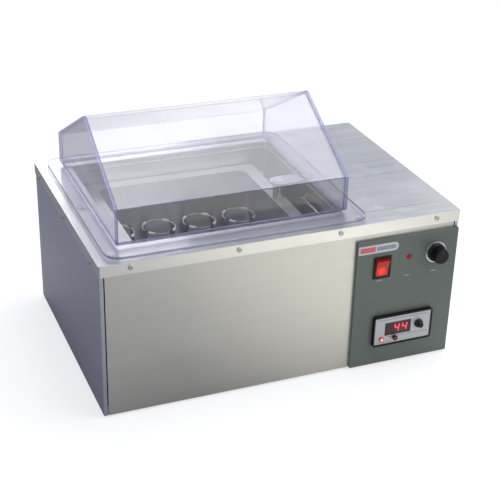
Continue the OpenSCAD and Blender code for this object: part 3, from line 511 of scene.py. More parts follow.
class Maker:
    """Collects the faces of one piece, each with the index of its finish."""

    def __init__(self) -> None:
        """Starts with no faces."""
        self.mesh = bmesh.new()

    def loop(self, points: Iterable[Sequence[float]]) -> list[bmesh.types.BMVert]:
        """Adds a ring of vertices."""
        return [self.mesh.verts.new(point) for point in points]

    def face(self, corners: Sequence[bmesh.types.BMVert], finish: int = 0, smooth: bool = False) -> None:
        """Adds one face.

        Args:
            corners: Its vertices in order.
            finish: The index of its finish.
            smooth: Whether it is shaded as part of a curve.
        """
        made = self.mesh.faces.new(corners)
        made.material_index = finish
        made.smooth = smooth

    def band(self, first: Sequence[bmesh.types.BMVert], second: Sequence[bmesh.types.BMVert],
             finish: int = 0, smooth: bool = False, closed: bool = True) -> None:
        """Joins two rings with four-sided faces.

        Args:
            first: One ring.
            second: The other, of the same length.
            finish: The index of the faces' finish.
            smooth: Whether they are shaded as one curve.
            closed: Whether the last vertices join the first.
        """
        count = len(first)
        for i in range(count if closed else count - 1):
            j = (i + 1) % count
            self.face((first[i], first[j], second[j], second[i]), finish, smooth)

    def prism(self, outline: Sequence[Sequence[float]], shift: Vector, broad: int = 0, rim: int = 0) -> None:
        """Adds a flat outline pushed along a vector.

        Args:
            outline: The corners of the first face.
            shift: The way and distance to the second face.
            broad: The finish of the two outline faces.
            rim: The finish of the faces between them.
        """
        first = self.loop(outline)
        second = self.loop([Vector(point) + shift for point in outline])
        self.face(first[::-1], broad)
        self.face(second, broad)
        self.band(first, second, rim)

    def box(self, low: Sequence[float], high: Sequence[float], finish: int = 0) -> None:
        """Adds a box between two corners."""
        outline = [(low[0], low[1], low[2]), (high[0], low[1], low[2]),
                   (high[0], high[1], low[2]), (low[0], high[1], low[2])]
        self.prism(outline, Vector((0, 0, high[2] - low[2])), finish, finish)

    def lathe(self, profile: Sequence[tuple[float, float]], centre: Point, forward: Vector,
              steps: int = 48, finish: int = 0) -> None:
        """Turns a profile about an axis.

        Args:
            profile: Pairs of distance along the axis and radius, first and last closed by a disc.
            centre: Where the axis starts.
            forward: The way of the axis.
            steps: Faces round the axis.
            finish: The index of the finish.
        """
        forward = forward.normalized()
        side = forward.orthogonal().normalized()
        up = forward.cross(side)
        rings = []
        for along, radius in profile:
            rings.append(self.loop(
                Vector(centre) + forward * along
                + (side * math.cos(math.tau * i / steps) + up * math.sin(math.tau * i / steps)) * radius
                for i in range(steps)))
        for first, second in zip(rings, rings[1:]):
            self.band(first, second, finish, True)
        self.face(rings[0][::-1], finish)
        self.face(rings[-1], finish)

    def tube(self, path: Sequence[Vector], radius: float, sides: int = 8, finish: int = 0,
             closed: bool = False) -> None:
        """Adds a round tube along a path.

        Args:
            path: The points of its middle line.
            radius: Its radius.
            sides: Faces round it.
            finish: The index of its finish.
            closed: Whether the path's end joins its start.
        """
        count = len(path)
        rings = []
        side = None
        for i, point in enumerate(path):
            ahead = path[(i + 1) % count] if closed or i < count - 1 else point
            behind = path[i - 1] if closed or i > 0 else point
            along = (ahead - behind).normalized()
            side = along.orthogonal() if side is None else side - along * side.dot(along)
            side = side.normalized()
            up = along.cross(side)
            rings.append(self.loop(
                point + (side * math.cos(math.tau * k / sides) + up * math.sin(math.tau * k / sides)) * radius
                for k in range(sides)))
        for first, second in zip(rings, rings[1:]):
            self.band(first, second, finish, True)
        if closed:
            self.band(rings[-1], rings[0], finish, True)
        else:
            self.face(rings[0][::-1], finish)
            self.face(rings[-1], finish)

    def finish(self, name: str, finishes: Sequence[AnyFinish], body: Body, slot: str,
               replaces: Sequence[str] = (), bevel: float = 0.0, edge_slot: int = -1) -> bpy.types.Object:
        """Turns the faces into a piece that rides on a body.

        Args:
            name: The piece's name.
            finishes: Its finishes, in the order of their indices.
            body: What it moves with.
            slot: A material slot's name in the record; not used.
            replaces: The model's nodes that it stands for.
            bevel: The width of its rounded edges, none if 0.
            edge_slot: The index of the rounded edges' finish, their neighbours' own if -1.

        Returns:
            The piece.
        """
        bmesh.ops.recalc_face_normals(self.mesh, faces=self.mesh.faces)
        data = bpy.data.meshes.new(name)
        self.mesh.to_mesh(data)
        self.mesh.free()
        piece = bpy.data.objects.new(name, data)
        bpy.context.scene.collection.objects.link(piece)
        for finish in finishes:
            data.materials.append(material(finish))
        if bevel:
            round_edges(piece, bevel, 2, edge_slot)
        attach(piece, body.value)
        if replaces:
            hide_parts(*replaces)
        log.info("piece %s rides on %s", name, body.value)
        return piece


def round_edges(piece: bpy.types.Object, width: float, segments: int = 2, edge_slot: int = -1) -> None:
    """Rounds a piece's sharp edges with modifiers.

    Args:
        piece: The piece.
        width: The width of the rounding.
        segments: The faces across it.
        edge_slot: The material slot of the rounded faces, the neighbours' own if -1.
    """
    bevel = piece.modifiers.new("round edges", "BEVEL")
    bevel.width = width
    bevel.segments = segments
    bevel.limit_method = "ANGLE"
    bevel.angle_limit = math.radians(38)
    bevel.use_clamp_overlap = True
    bevel.material = edge_slot
    normals = piece.modifiers.new("even shading", "WEIGHTED_NORMAL")
    normals.keep_sharp = False


@dataclass
class Dressing:
    """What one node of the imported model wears."""

    nodes: tuple[str, ...]
    finish: AnyFinish
    rounding: float = 0.0
    edge: AnyFinish | None = None

    def apply(self) -> None:
        """Puts the finish on the nodes and rounds their edges."""
        for name in self.nodes:
            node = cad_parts[name]
            node.data.materials.clear()
            node.data.materials.append(material(self.finish))
            if self.edge is not None:
                node.data.materials.append(material(self.edge))
            self.soften(node)
            log.info("node %s wears %s", name, self.finish.name)

    def soften(self, node: bpy.types.Object) -> None:
        """Welds the node's triangles into clean faces, then rounds or smooths its edges."""
        data = node.data
        if "custom_normal" in data.attributes:
            data.attributes.remove(data.attributes["custom_normal"])
        data.polygons.foreach_set("use_smooth", [True] * len(data.polygons))
        weld = node.modifiers.new("weld", "WELD")
        weld.merge_threshold = 2e-6
        if self.rounding:
            flat = node.modifiers.new("clean faces", "DECIMATE")
            flat.decimate_type = "DISSOLVE"
            flat.angle_limit = math.radians(0.6)
            round_edges(node, self.rounding, 2, 1 if self.edge is not None else -1)
        else:
            split = node.modifiers.new("sharp edges", "EDGE_SPLIT")
            split.split_angle = math.radians(35)


# ---- Case ----


@dataclass
class Case:
    """The folded steel case: front, sides, back, cover, base, screws and feet."""

    fold: float = 0.45 * MM
    cover_fold: float = 0.7 * MM
    dressings: list[Dressing] = field(default_factory=list)

    def dress(self) -> None:
        """Dresses every sheet of the case."""
        self.dressings = [
            Dressing(("front_panel", "back_panel"), CASE_FRONT, self.fold),
            # The side sheets wear the darker, bluer steel of the painted shade.
            Dressing(("left_side_panel", "right_side_panel"), SHADED_SIDE_STEEL, self.fold),
            # Its rounded folds wear the paler fold steel, a painted highlight.
            Dressing(("top_cover",), CASE_DECK, self.cover_fold, FOLD_PAINTED_HIGHLIGHT),
            Dressing(("base_plate", "motor_bracket", "partition_plate"), CASE_BASE, self.fold),
            Dressing(("cover_screws",), SCREW_STEEL, 0.15 * MM),
            Dressing(("feet",), RUBBER, 0.5 * MM),
        ]
        for dressing in self.dressings:
            dressing.apply()


@dataclass
class Tank:
    """The tank and everything fixed in it or on its outside."""

    def dress(self) -> None:
        """Dresses the tank, its fittings and the drain."""
        for dressing in (
            Dressing(("tank",), TANK_STEEL, 0.3 * MM),
            Dressing(("guide_rails",), STRIP_STEEL, 0.3 * MM),
            Dressing(("insulation",), WOOL),
            Dressing(("heater_element",), HEATER_STEEL),
            Dressing(("tank_fittings", "drain_valve"), BRASS, 0.3 * MM),
            Dressing(("temperature_probe", "drain_pipe"), BRIGHT_STEEL),
            Dressing(("drain_ball",), BRIGHT_STEEL),
            Dressing(("drain_handle",), RED_GRIP, 0.8 * MM),
        ):
            dressing.apply()


# ---- Carriage and drive ----


@dataclass
class Carriage:
    """The flask carriage with its clamps and rollers, and the drive that shakes it."""

    coil_radius: float = 0.70 * MM
    wire_radius: float = 0.38 * MM
    coil_pitch: float = 1.15 * MM
    steps_per_turn: int = 7

    def dress(self) -> None:
        """Dresses the carriage and the drive."""
        rollers = tuple(f"roller_{y}_{x}" for y in ("front", "back") for x in ("left", "right"))
        for dressing in (
            # Its rounded folds wear the paler fold steel, a painted highlight.
            Dressing(("carriage_tray",), TRAY_STEEL, 0.35 * MM, FOLD_PAINTED_HIGHLIGHT),
            Dressing(("clamp_bases",), STRIP_STEEL, 0.2 * MM),
            Dressing(("clamp_prongs",), DARK_PRONG, 0.25 * MM),
            Dressing(("clamp_sleeves",), SLEEVE_PALE),
            Dressing(("drive_post",), BRIGHT_STEEL, 0.6 * MM),
            Dressing(("drive_arm",), STRIP_STEEL, 0.4 * MM),
            Dressing(("roller_axles", "output_shaft", "crank_bearing"), BRIGHT_STEEL, 0.2 * MM),
            Dressing(("crank_disc",), BRIGHT_STEEL, 0.4 * MM),
            Dressing((*rollers, "arm_guide"), NYLON, 0.4 * MM),
            Dressing(("gearbox", "drive_motor"), MOTOR_PAINT, 0.8 * MM),
        ):
            dressing.apply()

    def ring_centres(self) -> list[Vector]:
        """Places the middle of each spring ring on a four by three grid inside the rings' box.

        Returns:
            One point for each of the twelve rings.
        """
        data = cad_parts["clamp_rings"].data
        low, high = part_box("clamp_rings")
        ring = self.ring_radius()
        columns, rows = 4, 3
        first = low + Vector((ring, ring, 0))
        pitch_x = (high.x - low.x - 2 * ring) / (columns - 1)
        pitch_y = (high.y - low.y - 2 * ring) / (rows - 1)
        height = (low.z + high.z) / 2
        assert data is not None
        return [Vector((first.x + pitch_x * column, first.y + pitch_y * row, height))
                for row in range(rows) for column in range(columns)]

    def ring_radius(self) -> float:
        """Gives the outer radius of a spring ring."""
        return 26 * MM

    def spring_rings(self) -> bpy.types.Object:
        """Winds each clamp's ring as a closed coil spring.

        Returns:
            The twelve rings as one piece.
        """
        maker = Maker()
        middle = self.ring_radius() - 1.0 * MM
        turns = round(math.tau * middle / self.coil_pitch)
        steps = turns * self.steps_per_turn
        for centre in self.ring_centres():
            path = []
            for i in range(steps):
                round_ring = math.tau * i / steps
                round_coil = math.tau * i / self.steps_per_turn
                outward = Vector((math.cos(round_ring), math.sin(round_ring), 0))
                reach = middle + self.coil_radius * math.cos(round_coil)
                path.append(centre + outward * reach + Vector((0, 0, self.coil_radius * math.sin(round_coil))))
            maker.tube(path, self.wire_radius, 4, 0, True)
        return maker.finish("spring_rings", (RING_STEEL,), Body.CARRIAGE, "bright_steel", ("clamp_rings",))


# ---- Controls ----


@dataclass
class Controls:
    """The painted control panel with its switch, lamps, knobs, controller and printed marks."""

    out: Vector = field(default_factory=lambda: Vector((0, -1, 0)))
    ink: float = 0.08 * MM

    def dress(self) -> None:
        """Dresses the parts whose shape the model already gives."""
        for dressing in (
            Dressing(("control_panel",), PANEL_PAINT, 0.5 * MM, PANEL_EDGE),
            Dressing(("switch_bezel",), BLACK, 0.5 * MM, BLACK_EDGE),
            Dressing(("controller_case",), BLACK, 0.7 * MM, BLACK_EDGE),
            Dressing(("mains_rocker",), RED_LIT, 0.5 * MM),
            Dressing(("controller_face",), PLATE, 0.15 * MM),
            Dressing(("speed_dial",), DIAL_PLATE, 0.2 * MM),
            Dressing(("display_window",), WINDOW),
            Dressing(("display_digits",), DIGIT_LIT),
            Dressing(("set_button",), BLACK, 0.3 * MM, BLACK_EDGE),
            Dressing(("speed_potentiometer",), BRIGHT_STEEL, 0.2 * MM),
            Dressing(("speed_board",), BOARD, 0.2 * MM),
            Dressing(("mains_inlet", "fuse_drawer"), BLACK, 0.4 * MM, BLACK_EDGE),
        ):
            dressing.apply()

    def round_bar(self, maker: Maker, x: float, z: float, y: float, profile: Sequence[tuple[float, float]],
                  steps: int = 48, finish: int = 0) -> None:
        """Adds a turned shape that stands out of the panel.

        Args:
            maker: Where its faces go.
            x: The axis's place across the panel.
            z: Its height.
            y: Where the profile starts.
            profile: Pairs of distance out of the panel and radius.
            steps: Faces round the axis.
            finish: The index of its finish.
        """
        maker.lathe(profile, (x, y, z), self.out, steps, finish)

    def speed_knob(self) -> bpy.types.Object:
        """Builds the fluted knob with its skirt, cap and pointer line."""
        low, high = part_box("speed_knob")
        x, z = (low.x + high.x) / 2, (low.z + high.z) / 2
        front = low.y
        skirt_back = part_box("speed_dial")[0].y - 1.0 * MM
        maker = Maker()
        self.fluted_barrel(maker, Vector((x, skirt_back, z)), skirt_back - front)
        self.round_bar(maker, x, z, skirt_back + 0.0, [
            (0.0, 13.2 * MM), (0.3 * MM, 13.7 * MM), (1.2 * MM, 13.8 * MM), (2.8 * MM, 13.6 * MM),
            (3.7 * MM, 12.9 * MM), (4.2 * MM, 11.9 * MM)], 64)
        depth = skirt_back - front
        self.round_bar(maker, x, z, skirt_back, [
            (depth - 0.9 * MM, 9.8 * MM), (depth - 0.35 * MM, 9.8 * MM), (depth - 0.05 * MM, 9.3 * MM)], 48, 2)
        maker.box((x - 0.4 * MM, front, z + 4.0 * MM), (x + 0.4 * MM, front + 0.3 * MM, z + 9.0 * MM), 1)
        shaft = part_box("speed_knob")[1].y
        self.round_bar(maker, x, z, shaft, [(0.0, 3 * MM), (shaft - skirt_back + 1 * MM, 3 * MM)], 24)
        return maker.finish("fluted_knob", (KNOB_BLACK, PRINT_DIM, KNOB_BLACK), Body.SPEED, "matt_black",
                            ("speed_knob",))

    def fluted_barrel(self, maker: Maker, back: Vector, depth: float) -> None:
        """Adds the knob's gripped barrel, whose radius waves round the axis.

        Args:
            maker: Where its faces go.
            back: The middle of its back end.
            depth: Its length.
        """
        flutes, per_flute = 24, 6
        steps = flutes * per_flute
        rings = []
        for along, radius, flute in ((0.5 * MM, 11.2, 0.0), (4.0 * MM, 11.5, 0.45), (depth * 0.5, 11.3, 0.5),
                                     (depth - 1.6 * MM, 11.0, 0.5), (depth - 0.7 * MM, 10.7, 0.2),
                                     (depth - 0.35 * MM, 10.2, 0.0)):
            points = []
            for i in range(steps):
                turn = math.tau * i / steps
                reach = (radius - flute * abs(math.sin(turn * flutes / 2))) * MM
                points.append((back.x + math.cos(turn) * reach, back.y - along, back.z + math.sin(turn) * reach))
            rings.append(maker.loop(points))
        for first, second in zip(rings, rings[1:]):
            maker.band(first, second, 0, True)
        maker.face(rings[0][::-1])
        maker.face(rings[-1])

    def set_knob(self) -> bpy.types.Object:
        """Builds the controller's stepped setting knob."""
        low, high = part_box("set_knob")
        x, z = (low.x + high.x) / 2, (low.z + high.z) / 2
        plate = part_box("controller_face")[0].y
        reach = plate - low.y
        maker = Maker()
        self.round_bar(maker, x, z, plate, [
            (0.5 * MM, 6.0 * MM), (0.8 * MM, 6.4 * MM), (3.0 * MM, 6.3 * MM), (3.6 * MM, 5.6 * MM),
            (3.9 * MM, 4.3 * MM), (reach - 0.7 * MM, 3.9 * MM), (reach - 0.2 * MM, 3.5 * MM), (reach, 2.9 * MM)], 40)
        self.round_bar(maker, x, z, high.y, [(0.0, 1.5 * MM), (high.y - plate + 0.6 * MM, 1.5 * MM)], 20)
        maker.box((x - 0.35 * MM, low.y - 0.0, z + 0.4 * MM), (x + 0.35 * MM, low.y + 0.3 * MM, z + 2.7 * MM), 1)
        return maker.finish("stepped_knob", (KNOB_BLACK, PRINT_PALE), Body.SET, "matt_black", ("set_knob",))

    def lamps(self) -> bpy.types.Object:
        """Builds both lamps: collar, red lens and the bright core of the lit one."""
        low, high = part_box("indicator_lamps")
        maker = Maker()
        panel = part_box("control_panel")[0].y
        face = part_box("controller_face")[0].y
        places = ((high.x - 4.1 * MM, high.z - 4.1 * MM, panel, 4.1, 3.3),
                  (low.x + 3.6 * MM, low.z + 3.6 * MM, face, 3.6, 2.8))
        for index, (x, z, y, collar, lens) in enumerate(places):
            back = 5.0 if y == panel else 3.0
            self.round_bar(maker, x, z, y + back * MM, [
                (0.0, lens * MM), ((back - 0.05) * MM, lens * MM), ((back + 0.0) * MM, collar * MM),
                ((back + 0.7) * MM, collar * MM), ((back + 1.0) * MM, (collar - 0.35) * MM),
                ((back + 1.0) * MM, lens * MM)], 40, 0)
            dome = [((back + 1.0 + 0.55 * lens * math.sin(t)) * MM, lens * MM * math.cos(t) + 1e-5)
                    for t in (math.radians(a) for a in (0, 15, 30, 45, 60, 75, 88))]
            self.round_bar(maker, x, z, y + back * MM, dome, 40, 1 + index)
        x, z, y, _, lens = places[1]
        self.round_bar(maker, x, z, y, [(0.8 * MM, 1.3 * MM), ((1.03 + 0.55 * lens) * MM, 1.2 * MM)], 24, 3)
        return maker.finish("lamp_lenses", (LAMP_RIM, LAMP_LIT, LENS_LIT, LAMP_CORE), Body.CHASSIS, "red_lens",
                            ("indicator_lamps",))

    def button_dot(self) -> bpy.types.Object:
        """Builds the red dot let into the button's end."""
        low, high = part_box("set_button")
        maker = Maker()
        self.round_bar(maker, (low.x + high.x) / 2, (low.z + high.z) / 2, low.y + 0.6 * MM, [
            (0.0, 1.9 * MM), (0.6 * MM, 1.9 * MM), (0.75 * MM, 1.6 * MM), (0.8 * MM, 0.8 * MM)], 28)
        return maker.finish("button_dot", (RED_GRIP,), Body.KEY, "red_grip")

    def label(self) -> bpy.types.Object:
        """Builds the plain nameplate: a silver plate with two blank blocks of colour."""
        low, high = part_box("blank_label")
        face = high.y
        half = (high.z - low.z) / 2
        middle = (low.z + high.z) / 2
        arc = [math.radians(-90 + 15 * i) for i in range(13)]

        def outline(inset: float, x0: float, x1: float, y: float) -> list[Point]:
            """Gives a strip's corners, round at its right end."""
            reach = half - inset
            points = [(x0, y, middle + reach), (x0, y, middle - reach)]
            return points + [(x1 - half + math.cos(a) * reach, y, middle + math.sin(a) * reach) for a in arc]

        maker = Maker()
        maker.prism(outline(0, low.x, high.x, face), Vector((0, -0.35 * MM, 0)), 0, 0)
        split = low.x + 0.43 * (high.x - low.x)
        top = face - 0.35 * MM
        maker.box((low.x + 2.4 * MM, top - 0.1 * MM, low.z + 2.6 * MM),
                  (split - 0.8 * MM, top, high.z - 2.6 * MM), 1)
        maker.prism(outline(3.4 * MM, split + 1.2 * MM, high.x - 1 * MM, top), Vector((0, -0.1 * MM, 0)), 2, 2)
        return maker.finish("plain_nameplate", (LABEL_SILVER, LABEL_RED, LABEL_GREY), Body.CHASSIS, "silver_plate",
                            ("blank_label",), 0.08 * MM)

    def panel_marks(self) -> bpy.types.Object:
        """Builds the printed marks: a short bar under each control."""
        maker = Maker()
        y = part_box("control_panel")[0].y
        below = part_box("switch_bezel")[0].z - 4.2 * MM
        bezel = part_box("switch_bezel")
        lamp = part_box("indicator_lamps")[1].x - 4.1 * MM
        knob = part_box("speed_knob")
        knob_x = (knob[0].x + knob[1].x) / 2
        for x, width, drop in (((bezel[0].x + bezel[1].x) / 2 - 2 * MM, 9.0, 0.0), (lamp - 2 * MM, 8.0, -1.2),
                               (knob_x - 1 * MM, 9.0, -1.2)):
            z = below - drop * MM
            maker.box((x - width / 2 * MM, y - self.ink, z - 0.8 * MM), (x + width / 2 * MM, y, z + 0.8 * MM), 0)
        return maker.finish("panel_marks", (PRINT_MARK,), Body.CHASSIS, "silver_plate")

    def dial_marks(self) -> bpy.types.Object:
        """Builds the graduations printed round the speed dial."""
        maker = Maker()
        low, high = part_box("speed_dial")
        centre = (low + high) / 2
        marks, sweep = 21, math.radians(280)
        for i in range(marks):
            turn = math.pi / 2 + sweep / 2 - sweep * i / (marks - 1)
            inner = (14.2 if i % 5 == 0 else 14.8) * MM
            across = Vector((-math.sin(turn), 0, math.cos(turn))) * (0.22 if i % 5 == 0 else 0.14) * MM
            along = Vector((math.cos(turn), 0, math.sin(turn)))
            start = Vector((centre.x, low.y, centre.z)) + along * inner
            end = Vector((centre.x, low.y, centre.z)) + along * 15.6 * MM
            corners = [start - across, start + across, end + across, end - across]
            maker.prism(corners, Vector((0, -self.ink, 0)))
        return maker.finish("dial_marks", (PRINT_DARK,), Body.CHASSIS, "silver_plate")

    def controller_marks(self) -> bpy.types.Object:
        """Builds the thin rules printed on the controller's face and round its setting knob."""
        maker = Maker()
        low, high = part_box("controller_face")
        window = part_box("display_window")
        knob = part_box("set_knob")
        y = low.y
        x0, x1 = low.x + 5 * MM, high.x - 5 * MM

        def rule(left: float, right: float, z: float, thick: float) -> None:
            """Prints one level line."""
            maker.box((left, y - self.ink, z - thick / 2), (right, y, z + thick / 2), 0)

        rule(x0, x1, high.z - 4.0 * MM, 0.5 * MM)
        rule(window[0].x + 5 * MM, x1, window[0].z - 2.6 * MM, 0.5 * MM)
        rule(x0, x0 + 22 * MM, low.z + 3.2 * MM, 0.4 * MM)
        knob_x, knob_z = (knob[0].x + knob[1].x) / 2, (knob[0].z + knob[1].z) / 2
        for i in range(11):
            turn = math.radians(225 - 27 * i)
            along = Vector((math.cos(turn), 0, math.sin(turn)))
            across = Vector((-math.sin(turn), 0, math.cos(turn))) * 0.15 * MM
            middle = Vector((knob_x, y, knob_z))
            start, end = middle + along * 7.0 * MM, middle + along * 8.4 * MM
            maker.prism([start - across, start + across, end + across, end - across], Vector((0, -self.ink, 0)))
        return maker.finish("controller_marks", (PRINT_DARK,), Body.CHASSIS, "silver_plate")

    def build(self) -> None:
        """Dresses and builds everything on the panel."""
        self.dress()
        self.speed_knob()
        self.set_knob()
        self.lamps()
        self.button_dot()
        self.label()
        self.panel_marks()
        self.dial_marks()
        self.controller_marks()


# ---- Lid ----


@dataclass
class Lid:
    """The clear gable lid: a flat flange, one bent sheet, two end sheets and their joints."""

    sheet: float = 4.0 * MM
    gap: float = 0.04 * MM
    corner: float = 22.0 * MM
    front_eave: float = 56.0 * MM
    back_eave: float = 52.0 * MM
    ridge_y: float = 4.5 * MM
    bead: float = 0.55 * MM

    def __post_init__(self) -> None:
        """Takes the lid's limits from the model."""
        self.low, self.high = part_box("lid_canopy")
        self.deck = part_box("top_cover")[1].z
        self.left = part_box("lid_left_end")
        self.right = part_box("lid_right_end")

    def outer(self) -> list[tuple[float, float]]:
        """Gives the gable's outer corners as Y and Z, from the front's foot to the back's."""
        return [(self.low.y, self.low.z), (self.low.y, self.deck + self.front_eave),
                (self.ridge_y, self.high.z), (self.high.y, self.deck + self.back_eave),
                (self.high.y, self.low.z)]

    def inner(self) -> list[tuple[float, float]]:
        """Gives the corners one sheet's thickness further in."""
        foot, front, ridge, back, _ = self.outer()
        rise = (ridge[1] - front[1]) / (ridge[0] - front[0])
        fall = (ridge[1] - back[1]) / (back[0] - ridge[0])
        drop_front = self.sheet * math.hypot(1, rise)
        drop_back = self.sheet * math.hypot(1, fall)
        shift = (drop_front - drop_back) / (rise + fall)
        return [(foot[0] + self.sheet, foot[1]),
                (foot[0] + self.sheet, front[1] + rise * self.sheet - drop_front),
                (ridge[0] + shift, ridge[1] + rise * shift - drop_front),
                (back[0] - self.sheet, back[1] + fall * self.sheet - drop_back),
                (back[0] - self.sheet, foot[1])]

    def canopy(self) -> bpy.types.Object:
        """Builds the bent sheet: front wall, two slopes and back wall."""
        maker = Maker()
        x0, x1 = self.low.x + self.gap, self.high.x - self.gap
        foot = self.gap
        outer = [(y, max(z, self.low.z + foot)) for y, z in self.outer()]
        inner = [(y, max(z, self.low.z + foot)) for y, z in self.inner()]
        rings = {}
        for side, x in (("left", x0), ("right", x1)):
            rings[side] = (maker.loop((x, y, z) for y, z in outer), maker.loop((x, y, z) for y, z in inner))
        for i in (0, 1):
            maker.band(rings["left"][i], rings["right"][i], 0, False, False)
        for side in ("left", "right"):
            maker.band(rings[side][0], rings[side][1], 1, False, False)
        for end in (0, -1):
            maker.face((rings["left"][0][end], rings["right"][0][end],
                        rings["right"][1][end], rings["left"][1][end]), 1)
        return maker.finish("clear_canopy", (CLEAR, SHEET_EDGE), Body.LID, "clear_sheet", ("lid_canopy",), 0.7 * MM, 1)

    def end_sheet(self, name: str, node: str, box: tuple[Vector, Vector]) -> bpy.types.Object:
        """Builds one gable end.

        Args:
            name: The piece's name.
            node: The node that it stands for.
            box: That node's lowest and highest corners.

        Returns:
            The piece.
        """
        maker = Maker()
        low, high = box
        outline = [(low.x, y, max(z, low.z + self.gap)) for y, z in self.outer()]
        maker.prism(outline, Vector((high.x - low.x, 0, 0)), 0, 1)
        return maker.finish(name, (CLEAR, SHEET_EDGE), Body.LID, "clear_sheet", (node,), 0.2 * MM)

    def rounded(self, low: Vector, high: Vector, radius: float, z: float) -> list[Point]:
        """Gives the corners of a rectangle with round corners.

        Args:
            low: Its lowest corner.
            high: Its highest corner.
            radius: The corners' radius.
            z: Its level.

        Returns:
            The points, counter-clockwise.
        """
        points = []
        for quarter, (x, y) in enumerate(((high.x, high.y), (low.x, high.y), (low.x, low.y), (high.x, low.y))):
            cx = x - math.copysign(radius, x - (low.x + high.x) / 2)
            cy = y - math.copysign(radius, y - (low.y + high.y) / 2)
            for i in range(9):
                turn = math.pi / 2 * (quarter + i / 8)
                points.append((cx + math.cos(turn) * radius, cy + math.sin(turn) * radius, z))
        return points

    def flange(self) -> bpy.types.Object:
        """Builds the flat flange with its mouth."""
        maker = Maker()
        low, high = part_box("lid_flange")
        mouth_low = Vector((self.left[1].x, self.low.y + self.sheet, 0))
        mouth_high = Vector((self.right[0].x, self.high.y - self.sheet, 0))
        rings = []
        for z in (low.z, high.z):
            rings.append((maker.loop(self.rounded(low, high, self.corner, z)),
                          maker.loop(self.rounded(mouth_low, mouth_high, 2 * MM, z))))
        for outside, inside in rings:
            maker.band(outside, inside, 0)
        # The side bands wear the darker finish, a painted shadow under the flange.
        maker.band(rings[0][0], rings[1][0], 1, True)
        maker.band(rings[0][1], rings[1][1], 1, True)
        # Its rounded rim wears the pale finish, a painted highlight.
        return maker.finish("clear_flange", (FLANGE_CLEAR, FLANGE_SIDE_SHADE, FLANGE_RIM_HIGHLIGHT), Body.LID, "clear_sheet",
                            ("lid_flange",), 0.6 * MM, 2)

    def joints(self) -> bpy.types.Object:
        """Builds the beads of cement where the sheets meet."""
        maker = Maker()
        inset = self.bead * 0.4
        inner = self.inner()
        for x, way in ((self.low.x, 1), (self.high.x, -1)):
            path = [Vector((x + way * inset, y, z + inset)) for y, z in inner]
            maker.tube(path, self.bead, 6)
        foot = self.low.z + inset
        for y, way in ((inner[0][0], 1), (inner[-1][0], -1)):
            maker.tube([Vector((self.low.x + 1 * MM, y + way * inset, foot)),
                        Vector((self.high.x - 1 * MM, y + way * inset, foot))], self.bead, 6)
        return maker.finish("cement_beads", (CEMENT,), Body.LID, "clear_sheet")

    def bumpers(self) -> bpy.types.Object:
        """Builds the clear domed bumpers under the flange."""
        maker = Maker()
        low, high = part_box("lid_bumpers")
        radius = 5 * MM
        rise = high.z - low.z
        for x in (low.x + radius, high.x - radius):
            for y in (low.y + radius, (low.y + high.y) / 2, high.y - radius):
                profile = [(0.0, radius)] + [
                    (rise * (0.25 + 0.75 * math.sin(t)), radius * (0.35 + 0.65 * math.cos(t)))
                    for t in (math.radians(a) for a in (0, 25, 50, 70, 90))]
                maker.lathe(profile, (x, y, high.z), Vector((0, 0, -1)), 28)
        return maker.finish("domed_bumpers", (CEMENT,), Body.LID, "clear_sheet", ("lid_bumpers",))

    def build(self) -> None:
        """Builds the whole lid."""
        self.canopy()
        self.end_sheet("clear_left_end", "lid_left_end", self.left)
        self.end_sheet("clear_right_end", "lid_right_end", self.right)
        self.flange()
        self.joints()
        self.bumpers()


# ---- Studio ----


@dataclass
class Softbox:
    """A rectangular studio light."""

    name: str
    place: Point
    aim: Point
    width: float
    height: float
    power: float
    tint: Colour = (1.0, 1.0, 1.0)

    def build(self) -> None:
        """Makes the light."""
        data = bpy.data.lights.new(self.name, "AREA")
        data.shape = "RECTANGLE"
        data.size = self.width
        data.size_y = self.height
        data.energy = self.power
        data.color = self.tint
        lamp = bpy.data.objects.new(self.name, data)
        lamp.location = self.place
        lamp.rotation_euler = (Vector(self.aim) - Vector(self.place)).to_track_quat("-Z", "Y").to_euler()
        lamp.visible_camera = False
        bpy.context.scene.collection.objects.link(lamp)


